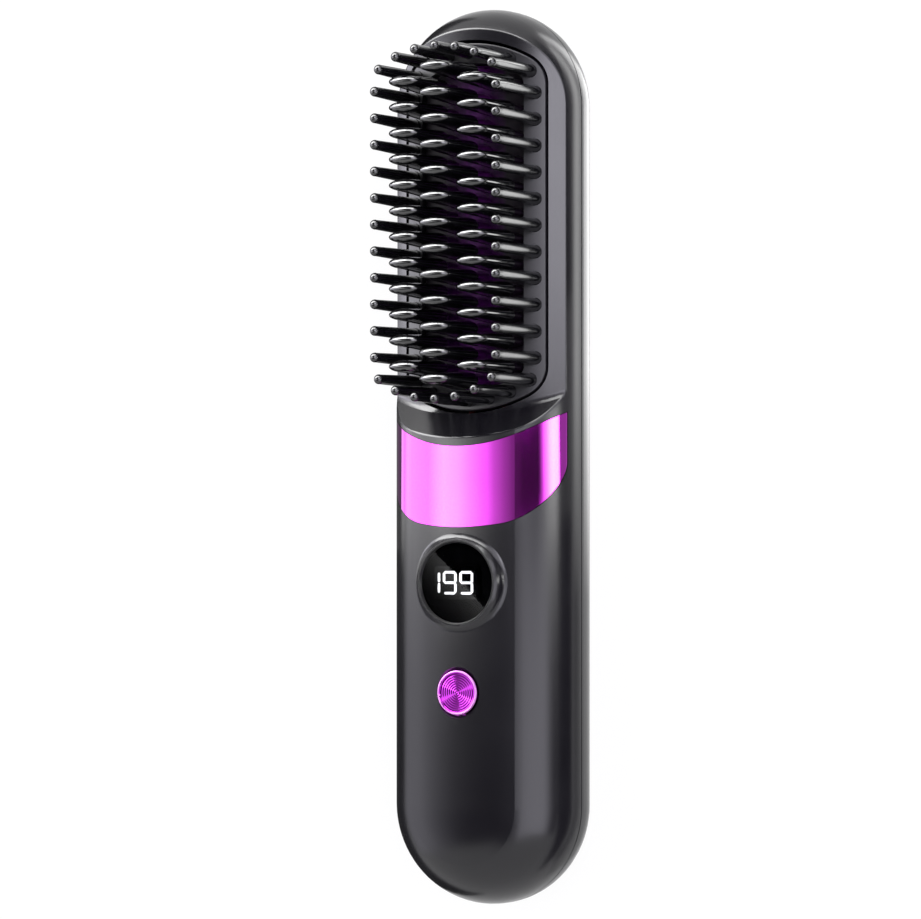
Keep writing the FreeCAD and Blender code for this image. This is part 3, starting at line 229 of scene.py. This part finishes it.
# Floor cards: strips of black felt and white board beside the brush, out of the lens's sight. Its rounded
# sides and bristles mirror them as the dark and bright lines that draw their edges against the floor.

CARD_LEVEL = 0.0005
# Each card: its two edges across the brush, then places along the brush with the brightness there.
FLOOR_CARDS = {
    "handle_left_felt": ((0.0225, 0.5), [(-0.16, 0.04), (-0.02, 0.04)]),
    "band_left_felt": ((0.0225, 0.1), [(-0.02, 0.14), (0.035, 0.14)]),
    "band_left_board": ((0.1, 0.6), [(-0.02, 1.8), (0.035, 1.8)]),
    "head_left_felt": ((0.0225, 0.5), [(0.035, 0.04), (0.14, 0.04)]),
    "handle_felt": ((-0.045, -0.6), [(-0.16, 0.0), (-0.012, 0.0)]),
    "head_felt": ((-0.045, -0.6), [(0.035, 0.0), (0.2, 0.0)]),
    "band_far_board": ((-0.22, -0.6), [(-0.012, 8.0), (0.035, 8.0)]),
    "band_near_board": ((-0.045, -0.22), [(-0.012, 0.5), (0.035, 0.5)]),
    "rim_board": ((-0.0195, -0.026), [(-0.11, 0.7), (-0.03, 1.1), (0.02, 4.0), (0.12, 5.0)]),
    "flank_board": ((-0.026, -0.031), [(-0.11, 0.7), (-0.03, 1.1), (0.02, 1.1), (0.12, 1.3)]),
    "side_board": ((-0.031, -0.04), [(-0.11, 0.4), (-0.03, 0.5), (0.02, 3.8), (0.12, 5.0)])}


def graded_sheet(name, points, faces, values):
    """A glowing sheet with its brightness given at each point."""
    sheet, tree, glow = glowing(name, mesh_of(name, points, faces), 1.0)
    sheet.data.attributes.new("sheet_light", "FLOAT", "POINT").data.foreach_set("value", values)
    brightness = added(tree, "ShaderNodeAttribute", {}, attribute_name="sheet_light")
    plug(tree, glow, {"Strength": brightness.outputs["Fac"]})
    return sheet


for name, (sides, steps) in FLOOR_CARDS.items():
    points = [(x, side, CARD_LEVEL) for x, value in steps for side in sides]
    values = [value for x, value in steps for side in sides]
    faces = [(2 * step, 2 * step + 1, 2 * step + 3, 2 * step + 2) for step in range(len(steps) - 1)]
    graded_sheet(name, points, faces, values).visible_diffuse = False

# Display card: a small dark card, split along a slanting line, hung where the flat display glass
# mirrors it, so that the glass stays black with one soft slanting sheen.

DISPLAY_PLACE = Vector((-0.0266, 0, 0.02865))
CARD_DISTANCE = 1.39
CARD_REACH = 0.0225
CARD_SLANT = math.radians(-49)
CARD_SHIFT = 0.002
# Distances from the slanting line, with the brightness there.
CARD_GLOW = [
    (0.0, 0.8), (0.003, 0.55), (0.006, 0.35), (0.010, 0.17), (0.014, 0.07), (0.018, 0.03), (0.0224, 0.01)]
CARD_DARK = [(0.0, 0.0), (-0.006, 0.0), (-0.012, 0.0), (-0.018, 0.0), (-0.0224, 0.0)]

to_camera = CAMERA_PLACE - DISPLAY_PLACE
mirrored = Vector((-to_camera.x, -to_camera.y, to_camera.z))
card_middle = DISPLAY_PLACE + mirrored * CARD_DISTANCE
card_up = Vector((1, 0, 0))
card_right = card_up.cross(mirrored).normalized()
along = card_right * math.cos(CARD_SLANT) + card_up * math.sin(CARD_SLANT)
below = card_right * math.sin(CARD_SLANT) - card_up * math.cos(CARD_SLANT)
card_points, card_faces, card_values = [], [], []
rows = list(zip(CARD_GLOW, CARD_GLOW[1:])) + list(zip(CARD_DARK, CARD_DARK[1:]))
for first, second in rows:
    start = len(card_points)
    for (distance, value), ends in ((first, (-1, 1)), (second, (1, -1))):
        half = math.sqrt(CARD_REACH ** 2 - distance ** 2)
        for end in ends:
            card_points.append(card_middle + along * end * half + below * (distance - CARD_SHIFT))
            card_values.append(value)
    card_faces.append((start, start + 1, start + 2, start + 3))
graded_sheet("display_card", card_points, card_faces, card_values)

# Tip cards and room: two white cards beyond the brush head, to the left and the right, show as a pair of
# glints on every tooth and along the end of the head. The plain white room gives a little light all round.

# Each card: its place, its width and height, and its brightness.
TIP_CARDS = {
    "left_tip_card": ((0.76, 0.68, 0.56), (1.2, 0.7), 14.0),
    "right_tip_card": ((1.05, -0.12, 0.54), (0.7, 0.7), 10.0)}
ROOM_FILL = 0.12

for name, (card_place, (width, height), brightness) in TIP_CARDS.items():
    turn = Vector(card_place).to_track_quat("Z", "Y").to_matrix()
    corners = [Vector(card_place) + turn @ Vector((side * width / 2, end * height / 2, 0))
               for side, end in SHEET_CORNERS]
    graded_sheet(name, corners, [(0, 1, 2, 3)], [brightness] * len(corners)).visible_diffuse = False
room = bpy.data.worlds.new("room")
room.use_nodes = True
tree = room.node_tree
room_light = between(tree, seen_rays(tree), (0.0, 1.0), (ROOM_FILL, 1.0))
plug(tree, tree.nodes["Background"], {"Color": grey(1), "Strength": room_light})
bpy.context.scene.world = room

# Rear cover: the lower half shell, moulded in ABS and sprayed with a satin dark grey soft-touch paint.
# Four screws from behind hold it to the front casing, lip into rebate.

TONE_SPAN = (0.35, 0.65)
GLOSS_SPAN = (0.3, 0.7)
EVEN = (1, 1, 1)


def shade(code):
    """A colour written as six hex digits, turned into linear light for the shader."""
    values = [int(code[at:at + 2], 16) / 255 for at in (0, 2, 4)]
    return tuple(v / 12.92 if v <= 0.04045 else ((v + 0.055) / 1.055) ** 2.4 for v in values) + (1,)


def patches(tree, size, stretch=EVEN):
    """Soft patches of about this size in metres, on the piece's own coordinates."""
    scale = [axis / size for axis in stretch]
    place = added(tree, "ShaderNodeMapping", {"Vector": own_place(tree), "Scale": scale})
    return added(tree, "ShaderNodeTexNoise", {"Vector": place, "Scale": 1.0}).outputs["Fac"]


def two_tones(tree, value, tones):
    """Runs from the first tone to the second as the value grows."""
    ramp = added(tree, "ShaderNodeValToRGB", {"Fac": value})
    for stop, position, code in zip(ramp.color_ramp.elements, TONE_SPAN, tones):
        stop.position = position
        stop.color = shade(code)
    return ramp


def finish(name, tones, patch, gloss, grain, depth, sockets=None, stretch=EVEN):
    """A surface in two close tones, or none yet, with gloss in the same patches and a fine grain."""
    material = bpy.data.materials.new(name)
    material.use_nodes = True
    tree = material.node_tree
    cloud = patches(tree, patch)
    relief = added(tree, "ShaderNodeBump", {"Height": patches(tree, grain, stretch), "Distance": depth})
    inputs = {"Roughness": between(tree, cloud, GLOSS_SPAN, gloss), "Normal": relief}
    if tones:
        inputs["Base Color"] = two_tones(tree, cloud, tones)
    plug(tree, tree.nodes["Principled BSDF"], inputs | (sockets or {}))
    return material


def dress(material, *names):
    """Gives these solids the finish."""
    for name in names:
        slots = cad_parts[name].data.materials
        slots.clear()
        slots.append(material)


casing_satin = finish(
    "casing_satin", tones=("111014", "151418"), patch=0.018, gloss=(0.215, 0.24), grain=0.00022,
    depth=0.000002, sockets={"Specular IOR Level": 0.5})
dress(casing_satin, "rear_cover")

# Charging socket: a folded spring-steel shell on a small board, with a black moulded tongue inside.
# It is soldered to the board and looks out through the tail of the rear cover.

spring_steel = finish(
    "spring_steel", tones=("8f9196", "a3a5aa"), patch=0.003, gloss=(0.22, 0.34), grain=0.00006,
    depth=0.0000015, sockets={"Metallic": 1.0}, stretch=(1, 8, 8))
dress(spring_steel, "socket_shell")
black_moulding = finish(
    "black_moulding", tones=("0c0c0d", "151517"), patch=0.002, gloss=(0.42, 0.55), grain=0.00012,
    depth=0.000004)
dress(black_moulding, "socket_tongue")

# Battery: two lithium cells side by side in blue shrink wrap, with welded nickel tabs at their ends and
# thin foam strips between the cells and the board.

cell_wrap = finish(
    "cell_wrap", tones=("1f4f86", "2a5f9a"), patch=0.008, gloss=(0.28, 0.4), grain=0.0009, depth=0.00002,
    stretch=(6, 1, 1))
dress(cell_wrap, "battery_cells")
nickel = finish(
    "nickel", tones=("a8a59c", "bab7ae"), patch=0.002, gloss=(0.25, 0.4), grain=0.00015, depth=0.000004,
    sockets={"Metallic": 1.0})
dress(nickel, "cell_tabs")
foam = finish(
    "foam_grey", tones=("3a3b3d", "55565a"), patch=0.0006, gloss=(0.85, 0.95), grain=0.0004, depth=0.00008)
dress(foam, "battery_foam")

# Boards: glass-epoxy laminate under green solder mask, with copper runs that show as paler lines. The main
# board hangs from the front casing by two screws and carries the chip, the transistors and the coil. The
# small one carries the socket.

MASK_GREENS = ("0d3a20", "114527")
RUN_GREEN = "2c6b45"
RUN_PITCH = 0.0016
RUN_SHARE = 0.05

board_green = finish(
    "board_green", tones=None, patch=0.004, gloss=(0.3, 0.42), grain=0.00015, depth=0.000004)
tree = board_green.node_tree
runs = added(tree, "ShaderNodeTexBrick", {
    "Vector": own_place(tree), "Scale": 1 / RUN_PITCH, "Mortar Size": RUN_SHARE,
    "Color1": shade(MASK_GREENS[0]), "Color2": shade(MASK_GREENS[1]), "Mortar": shade(RUN_GREEN)})
plug(tree, tree.nodes["Principled BSDF"], {"Base Color": runs})
dress(board_green, "control_board", "charging_board")
dress(black_moulding, "controller_chip", "heater_transistors")
ferrite = finish(
    "coil_ferrite", tones=("1d1c1c", "2b2a2a"), patch=0.0008, gloss=(0.6, 0.75), grain=0.0003,
    depth=0.00002)
dress(ferrite, "charge_coil")

# Heater: two ceramic strips held up under the heating plate by an aluminium clamp in a black tray, with
# amber insulating film, a glass bead sensor and a metal-can fuse between them.

heater_ceramic = finish(
    "heater_ceramic", tones=("cfc9bb", "ddd8cc"), patch=0.0015, gloss=(0.55, 0.7), grain=0.0002,
    depth=0.000008)
dress(heater_ceramic, "heater_strips")
film_amber = finish(
    "film_amber", tones=("8a4a08", "a65d10"), patch=0.003, gloss=(0.18, 0.28), grain=0.0008,
    depth=0.000006, sockets={"Coat Weight": 0.5})
dress(film_amber, "heater_film")
clamp_alloy = finish(
    "clamp_alloy", tones=("9c9da0", "adaeb1"), patch=0.004, gloss=(0.32, 0.45), grain=0.00008,
    depth=0.000003, sockets={"Metallic": 1.0}, stretch=(1, 12, 12))
dress(clamp_alloy, "heater_clamp")
tray_black = finish(
    "tray_black", tones=("111113", "1c1c1f"), patch=0.0012, gloss=(0.5, 0.68), grain=0.0002, depth=0.00001)
dress(tray_black, "heater_tray")
sensor_glass = finish(
    "sensor_glass", tones=("6d2a16", "84371d"), patch=0.001, gloss=(0.06, 0.12), grain=0.0004,
    depth=0.000004, sockets={"Coat Weight": 1.0})
dress(sensor_glass, "thermistor")
fuse_can = finish(
    "fuse_can", tones=("9a968c", "aeaaa0"), patch=0.0015, gloss=(0.28, 0.4), grain=0.0001, depth=0.000003,
    sockets={"Metallic": 1.0})
dress(fuse_can, "thermal_fuse")

# Leads: stranded copper in red silicone sleeves, cut to length and tinned at both ends. They are soldered
# to the boards, the cells and the heater.

lead_red = finish(
    "lead_red", tones=("6e0d0d", "861313"), patch=0.003, gloss=(0.45, 0.6), grain=0.0005, depth=0.00001)
dress(lead_red, "heater_leads", "battery_leads", "charging_leads")

# Bristle frame: the pad around the heated teeth, moulded in heat-proof nylon with a fine matt texture.
# Its flange lies under the deck of the front casing, and the tray screws pull it up.

pad_satin = finish(
    "pad_satin", tones=("151418", "1a191d"), patch=0.012, gloss=(0.3, 0.34), grain=0.00025, depth=0.000003,
    sockets={"Specular IOR Level": 0.5})
dress(pad_satin, "bristle_frame")

# Heating plate and fins: one aluminium casting with a dark purple ceramic coat that glitters faintly.
# The fins stand up inside the teeth and widen into the plate at their feet. Away from the middle column
# the coat runs into near black, as painted shade for the shade that the teeth and pins cast there.

MIDDLE_TEETH = 13
SIDE_TEETH = 12
TOOTH_PITCH = 0.0054
TOOTH_COLUMN = 0.008
HEAD_CENTRE = 0.0482
TOOTH_TIP_MIDDLE = 0.0398
TOOTH_TIP_SIDE = 0.0385
TOOTH_SIZE = (0.0023, 0.0071)
TOOTH_FLARE = 0.5
FIN_DROP = 0.0019
FIN_LENGTH = 0.0178
FIN_DOME = 0.0004
FIN_SHARES = (0.62, 0.84)
FIN_FOOT_GROWTH = 0.3
# Painted shade: between these distances off the middle column the coat runs into this near-black tone.
PAINTED_SHADE_SPAN = (0.002, 0.0075)
PAINTED_SHADE_TONE = "0d0410"
TIP_RINGS = 8
STEM_RINGS = 10
SECTION_SIDES = 28
MERGE_REACH = 0.000001
STEM_SHARP = math.radians(60)
QUARTER_TURN = math.pi / 2
TREE_SIZES = (
    "Length", "Tip rise", "Tip width", "Tip turn", "Foot growth", "Thickness", "Breadth", "Flare")


def stem_tree():
    """Stands a stem with a rounded tip on every place: rings follow the tip's curve, then the taper."""
    tree = bpy.data.node_groups.new("stems", "GeometryNodeTree")
    panel = tree.interface
    panel.new_socket(name="Places", in_out="INPUT", socket_type="NodeSocketGeometry")
    for size in TREE_SIZES:
        panel.new_socket(name=size, in_out="INPUT", socket_type="NodeSocketFloat")
    panel.new_socket(name="Finish", in_out="INPUT", socket_type="NodeSocketMaterial")
    panel.new_socket(name="Stems", in_out="OUTPUT", socket_type="NodeSocketGeometry")
    sizes = added(tree, "NodeGroupInput", {}).outputs
    ring = added(tree, "GeometryNodeInputIndex", {})
    tip_share = calculated(tree, "MINIMUM", calculated(tree, "DIVIDE", ring, TIP_RINGS), 1.0)
    past_tip = calculated(tree, "MAXIMUM", calculated(tree, "SUBTRACT", ring, TIP_RINGS), 0.0)
    stem_share = calculated(tree, "DIVIDE", past_tip, STEM_RINGS)
    turn = calculated(tree, "MULTIPLY", tip_share, sizes["Tip turn"])
    fall = calculated(tree, "SUBTRACT", 1.0, calculated(tree, "COSINE", turn))
    tip_fall = calculated(tree, "MULTIPLY", fall, sizes["Tip rise"])
    whole_fall = calculated(tree, "SUBTRACT", 1.0, calculated(tree, "COSINE", sizes["Tip turn"]))
    tip_height = calculated(tree, "MULTIPLY", whole_fall, sizes["Tip rise"])
    stem_length = calculated(tree, "SUBTRACT", sizes["Length"], tip_height)
    drop = calculated(tree, "ADD", tip_fall, calculated(tree, "MULTIPLY", stem_share, stem_length))
    round_width = calculated(tree, "MULTIPLY", calculated(tree, "SINE", turn), sizes["Tip width"])
    taper = calculated(tree, "MULTIPLY", stem_share, sizes["Foot growth"])
    width = calculated(tree, "ADD", round_width, taper)
    line = added(tree, "GeometryNodeCurvePrimitiveLine", {})
    rings = added(tree, "GeometryNodeResampleCurve", {"Curve": line, "Count": TIP_RINGS + STEM_RINGS + 1})
    height = added(tree, "ShaderNodeCombineXYZ", {"Z": calculated(tree, "MULTIPLY", drop, -1.0)})
    spine = added(tree, "GeometryNodeSetPosition", {"Geometry": rings, "Position": height})
    section = added(tree, "GeometryNodeCurvePrimitiveCircle", {"Resolution": SECTION_SIDES, "Radius": 1.0})
    skin = added(tree, "GeometryNodeCurveToMesh", {
        "Curve": spine, "Profile Curve": section, "Scale": width, "Fill Caps": True})
    oval = added(tree, "ShaderNodeCombineXYZ", {"X": sizes["Thickness"], "Y": sizes["Breadth"], "Z": 1.0})
    pressed = added(tree, "GeometryNodeTransform", {"Geometry": skin, "Scale": oval})
    position = added(tree, "GeometryNodeInputPosition", {})
    point = added(tree, "ShaderNodeSeparateXYZ", {0: position}).outputs
    depth = calculated(tree, "DIVIDE", point["Z"], sizes["Length"])
    growth = calculated(tree, "SUBTRACT", 1.0, calculated(tree, "MULTIPLY", depth, sizes["Flare"]))
    spread = added(tree, "ShaderNodeCombineXYZ", {
        "X": calculated(tree, "MULTIPLY", point["X"], growth), "Y": point["Y"], "Z": point["Z"]})
    flared = added(tree, "GeometryNodeSetPosition", {"Geometry": pressed, "Position": spread})
    stand = added(tree, "GeometryNodeInstanceOnPoints", {"Points": sizes["Places"], "Instance": flared})
    real = added(tree, "GeometryNodeRealizeInstances", {"Geometry": stand})
    coat = added(tree, "GeometryNodeSetMaterial", {"Geometry": real, "Material": sizes["Finish"]})
    added(tree, "NodeGroupOutput", {"Stems": coat})
    return tree


stems = stem_tree()


def stand_stems(name, places, sizes, material):
    """Runs the stem tree on these places and keeps the result as one plain, closed mesh."""
    piece = linked(name, mesh_of(name, places, []))
    modifier = piece.modifiers.new("stems", "NODES")
    modifier.node_group = stems
    for socket in stems.interface.items_tree:
        if socket.name in sizes:
            modifier[socket.identifier] = sizes[socket.name]
        elif socket.name == "Finish":
            modifier[socket.identifier] = material
    made = piece.evaluated_get(bpy.context.evaluated_depsgraph_get())
    mesh = bpy.data.meshes.new_from_object(made)
    piece.modifiers.clear()
    form = bmesh.new()
    form.from_mesh(mesh)
    bmesh.ops.remove_doubles(form, verts=form.verts, dist=MERGE_REACH)
    bmesh.ops.recalc_face_normals(form, faces=form.faces)
    for face in form.faces:
        face.smooth = True
    form.to_mesh(mesh)
    form.free()
    mesh.set_sharp_from_angle(angle=STEM_SHARP)
    piece.data = mesh
    mesh.name = name
    return piece


def column(count, pitch, side, tip):
    """Places in a straight row along the head, evenly about its middle."""
    return [(HEAD_CENTRE + pitch * (step - (count - 1) / 2), side, tip) for step in range(count)]


def tooth_places(drop=0.0):
    """A middle column of teeth and a shorter, lower one each side, this far below the teeth's tips."""
    places = column(MIDDLE_TEETH, TOOTH_PITCH, 0, TOOTH_TIP_MIDDLE - drop)
    for side in (TOOTH_COLUMN, -TOOTH_COLUMN):
        places += column(SIDE_TEETH, TOOTH_PITCH, side, TOOTH_TIP_SIDE - drop)
    return places


def running_into(tree, colour, share, code):
    """The colour, going over into a plain tone as the share grows."""
    mix = added(tree, "ShaderNodeMix", {"Factor": share}, data_type="RGBA")
    start, end = [socket for socket in mix.inputs if socket.type == "RGBA"]
    tree.links.new(colour, start)
    end.default_value = shade(code)
    return next(socket for socket in mix.outputs if socket.type == "RGBA")


purple_coat = finish(
    "purple_coat", tones=("4a0c5a", "621272"), patch=0.0012, gloss=(0.36, 0.5), grain=0.00015,
    depth=0.000004, sockets={"Specular IOR Level": 0.25})
tree = purple_coat.node_tree
coat_shader = tree.nodes["Principled BSDF"]
plain_coat = coat_shader.inputs["Base Color"].links[0].from_socket
# Painted shade: the coat's colour darkens away from the middle column, on the plate and the fins alike.
off_middle = calculated(tree, "ABSOLUTE", own_axes(tree)["Y"])
painted_shade_share = between(tree, off_middle, PAINTED_SHADE_SPAN, (0.0, 1.0)).outputs[0]
plug(tree, coat_shader, {"Base Color": running_into(tree, plain_coat, painted_shade_share, PAINTED_SHADE_TONE)})
dress(purple_coat, "heating_plate")
fins = stand_stems("fins", tooth_places(FIN_DROP), {
    "Length": FIN_LENGTH, "Tip rise": FIN_DOME, "Tip width": 1.0, "Tip turn": QUARTER_TURN,
    "Foot growth": FIN_FOOT_GROWTH, "Thickness": TOOTH_SIZE[0] / 2 * FIN_SHARES[0],
    "Breadth": TOOTH_SIZE[1] / 2 * FIN_SHARES[1], "Flare": TOOTH_FLARE}, purple_coat)
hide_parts("heating_fins")
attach(fins, "brush")

# Tooth caps: glossy black heat-proof nylon, moulded oval with a rounded tip and pushed on over the fins,
# so that the hair and the scalp never touch hot metal.

CAP_LENGTH = 0.0135
CAP_DOME = 0.0017
CAP_DRAFT = 0.1

black_gloss = finish(
    "black_gloss", tones=("08080a", "0d0d0f"), patch=0.003, gloss=(0.12, 0.18), grain=0.0006,
    depth=0.000002, sockets={"Specular IOR Level": 0.8, "Coat Weight": 0.6, "Coat Roughness": 0.06})
caps = stand_stems("tooth_tips", tooth_places(), {
    "Length": CAP_LENGTH, "Tip rise": CAP_DOME, "Tip width": 1.0, "Tip turn": QUARTER_TURN,
    "Foot growth": CAP_DRAFT, "Thickness": TOOTH_SIZE[0] / 2, "Breadth": TOOTH_SIZE[1] / 2,
    "Flare": TOOTH_FLARE}, black_gloss)
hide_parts("tooth_caps")
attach(caps, "brush")

# Guard bristles: 36 black nylon pins in a ring round the teeth, each with a ball at its tip. They keep
# the hot teeth off the skin, and their stubs are pressed into the bristle frame.

PIN_COLUMN = 11
PIN_PITCH = 0.00555
PIN_SIDE = 0.01435
PIN_TIP = 0.039
PIN_LENGTH = 0.0192
PIN_BALL = 0.00104
PIN_NECK = 0.00101
PIN_FOOT = 0.0014
PIN_END = 0.03655
PIN_END_RADIUS = 0.02485
PIN_CORNER_RADIUS = 0.00435
END_PINS_EACH_SIDE = 3

radius_gap = PIN_END_RADIUS - PIN_CORNER_RADIUS
corner_turn = math.asin((PIN_SIDE - PIN_CORNER_RADIUS) / radius_gap)
end_middle = PIN_END - PIN_END_RADIUS
straight_walk = end_middle + radius_gap * math.cos(corner_turn) - PIN_PITCH * (PIN_COLUMN - 1) / 2
corner_walk = PIN_CORNER_RADIUS * (QUARTER_TURN - corner_turn)
pin_step = (PIN_END_RADIUS * corner_turn + corner_walk + straight_walk) / (END_PINS_EACH_SIDE + 1)


def round_end(walk):
    """Where a walk from the middle of the head's end leads: along the wide end arc, then a corner arc."""
    wide_turn = min(walk / PIN_END_RADIUS, corner_turn)
    turn = wide_turn + (walk - wide_turn * PIN_END_RADIUS) / PIN_CORNER_RADIUS
    reach = end_middle + radius_gap * math.cos(wide_turn) + PIN_CORNER_RADIUS * math.cos(turn)
    return reach, radius_gap * math.sin(wide_turn) + PIN_CORNER_RADIUS * math.sin(turn)


pin_places = []
for side in (PIN_SIDE, -PIN_SIDE):
    pin_places += column(PIN_COLUMN, PIN_PITCH, side, PIN_TIP)
for step in range(-END_PINS_EACH_SIDE, END_PINS_EACH_SIDE + 1):
    reach, side = round_end(abs(step) * pin_step)
    for end in (reach, -reach):
        pin_places.append((HEAD_CENTRE + end, math.copysign(side, step), PIN_TIP))
pin_black = finish(
    "pin_black", tones=("08080a", "0d0d0f"), patch=0.003, gloss=(0.14, 0.18), grain=0.0006, depth=0.000002,
    sockets={"Specular IOR Level": 0.9})
pins = stand_stems("bristle_pins", pin_places, {
    "Length": PIN_LENGTH, "Tip rise": PIN_BALL, "Tip width": PIN_BALL,
    "Tip turn": math.pi - math.asin(PIN_NECK / PIN_BALL), "Foot growth": PIN_FOOT - PIN_NECK,
    "Thickness": 1.0, "Breadth": 1.0, "Flare": 0.0}, pin_black)
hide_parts("guard_bristles")
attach(pins, "brush")

# Front casing: the upper half shell, with the sunken deck, the ramp and the display surround moulded in
# one piece and sprayed with the same satin paint as the rear cover.

dress(casing_satin, "front_casing")

# Trim band: thin ABS plated bright and dipped in a clear magenta lacquer. It lies flush in a groove
# round the neck, held by glue.

band_magenta = finish(
    "band_magenta", tones=("ba1fbd", "c226c5"), patch=0.02, gloss=(0.05, 0.08), grain=0.004,
    depth=0.0000015, sockets={"Metallic": 1.0, "Coat Weight": 0.9, "Coat Roughness": 0.03})
dress(band_magenta, "trim_band")

# Display: a satin black bezel ring holds a flat glass lens, printed black behind except for a window, over
# a seven-segment module whose lit digits shine through.

MASK_RADIUS = 0.0083
MASK_LEVEL = 0.02748
MASK_WINDOW = (0.0035, 0.0057)
MASK_SIDES = 64
NEAR_ZERO = 0.000001
DIGIT_GLOW = 0.85

bezel_black = finish(
    "bezel_black", tones=("0b0b0d", "101013"), patch=0.002, gloss=(0.3, 0.36), grain=0.0002,
    depth=0.000001, sockets={"Specular IOR Level": 0.35})
dress(bezel_black, "display_bezel")
mask_points = []
for step in range(MASK_SIDES):
    turn = 2 * math.pi * step / MASK_SIDES
    out_x, out_y = math.cos(turn), math.sin(turn)
    window = min(
        MASK_WINDOW[0] / max(abs(out_x), NEAR_ZERO), MASK_WINDOW[1] / max(abs(out_y), NEAR_ZERO))
    for reach in (MASK_RADIUS, window):
        mask_points.append((DISPLAY_PLACE.x + out_x * reach, out_y * reach, MASK_LEVEL))
mask_faces = []
for step in range(MASK_SIDES):
    after = (step + 1) % MASK_SIDES
    mask_faces.append((2 * step, 2 * after, 2 * after + 1, 2 * step + 1))
lens_print = linked("lens_print", mesh_of("lens_print", mask_points, mask_faces))
print_black = finish(
    "print_black", tones=("020203", "040405"), patch=0.001, gloss=(0.5, 0.6), grain=0.0001, depth=0.000001,
    sockets={"Specular IOR Level": 0.0})
lens_print.data.materials.append(print_black)
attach(lens_print, "brush")
dress(print_black, "display_module")
lens_glass = finish(
    "lens_glass", tones=("f2f2f3", "f5f5f6"), patch=0.004, gloss=(0.0, 0.015), grain=0.0008,
    depth=0.0000002, sockets={"Transmission Weight": 1.0})
dress(lens_glass, "display_lens")
digits_lit = finish(
    "digits_lit", tones=("dfe2ea", "ffffff"), patch=0.0006, gloss=(0.4, 0.5), grain=0.0002, depth=0.000001,
    sockets={"Emission Color": grey(1), "Emission Strength": DIGIT_GLOW})
dress(digits_lit, "display_digits")

# Power button: turned aluminium, cut with fine rings across its face and anodised magenta. Its flange keeps
# it in the casing, and its post rests on the stem of a small switch with a spring dome.

BUTTON_PLACE = -0.0496
# Radius and height, from the post round the flange to the inside of the rim.
BUTTON_PROFILE = [
    (0.0, 0.0246), (0.0014, 0.0246), (0.0014, 0.0248), (0.0058, 0.0248), (0.0058, 0.0255),
    (0.0047, 0.0255), (0.0047, 0.0284), (0.00466, 0.02855), (0.00458, 0.02866), (0.00445, 0.0287),
    (0.0043, 0.02869), (0.0042, 0.02864), (0.00412, 0.02852), (0.00408, 0.02845)]
GROOVE_START = 0.0040
GROOVE_COUNT = 8
GROOVE_PITCH = 0.0005
GROOVE_DEPTH = 0.000066
BUTTON_FACE = 0.02845
BUTTON_SIDES = 96
RIM_INSIDE = 0.0043
RIM_FOOT = 0.0283
RING_SHARP = math.radians(14)

button_profile = list(BUTTON_PROFILE)
for groove in range(GROOVE_COUNT):
    outer = GROOVE_START - GROOVE_PITCH * groove
    button_profile += [(outer, BUTTON_FACE), (outer - GROOVE_PITCH / 2, BUTTON_FACE - GROOVE_DEPTH)]
button_profile.append((0.0, BUTTON_FACE))


def turned(name, profile, x, sides):
    """A lathe form: the profile's (radius, height) points carried round an upright axis."""
    form = bmesh.new()
    turns = [2 * math.pi * step / sides for step in range(sides)]
    rings = []
    for radius, height in profile:
        ring = [(x + radius * math.cos(turn), radius * math.sin(turn), height) for turn in turns]
        rings.append([form.verts.new(point) for point in (ring if radius else ring[:1])])
    for low, high in zip(rings, rings[1:]):
        for step in range(sides):
            after = (step + 1) % sides
            corners = [low[step % len(low)], low[after % len(low)]]
            corners += [high[after % len(high)], high[step % len(high)]]
            form.faces.new(list(dict.fromkeys(corners)))
    bmesh.ops.recalc_face_normals(form, faces=form.faces)
    for face in form.faces:
        face.smooth = True
    mesh = bpy.data.meshes.new(name)
    form.to_mesh(mesh)
    form.free()
    return mesh


spun_magenta = finish(
    "spun_magenta", tones=("c832d6", "d23ee0"), patch=0.002, gloss=(0.1, 0.13), grain=0.0003,
    depth=0.000002, sockets={"Metallic": 1.0, "Coat Weight": 0.4, "Coat Roughness": 0.12})
cut_rim = finish(
    "cut_rim", tones=("cf84d4", "da94de"), patch=0.002, gloss=(0.36, 0.42), grain=0.0003, depth=0.000002,
    sockets={"Metallic": 1.0})
button_mesh = turned("button_cap", button_profile, BUTTON_PLACE, BUTTON_SIDES)
button_mesh.set_sharp_from_angle(angle=RING_SHARP)
button = linked("button_cap", button_mesh)
button.data.materials.append(spun_magenta)
button.data.materials.append(cut_rim)
for face in button.data.polygons:
    reach = math.hypot(face.center.x - BUTTON_PLACE, face.center.y)
    face.material_index = int(reach > RIM_INSIDE and face.center.z > RIM_FOOT)
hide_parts("power_button")
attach(button, "button")
stem_white = finish(
    "stem_white", tones=("d8d6d0", "e4e2dc"), patch=0.002, gloss=(0.4, 0.5), grain=0.0002, depth=0.000003)
dress(stem_white, "switch_stem")
dress(black_moulding, "switch_housing")
dress(spring_steel, "switch_dome")

# Screws: small cross-slot steel screws with a dull zinc finish. Four close the casing from behind, two hold
# the main board and the others pull the heater tray up to the bristle frame.

screw_steel = finish(
    "screw_steel", tones=("7d7d80", "95959a"), patch=0.0015, gloss=(0.3, 0.45), grain=0.0002,
    depth=0.000005, sockets={"Metallic": 1.0})
dress(screw_steel, "case_screws", "board_screws", "tray_screws")
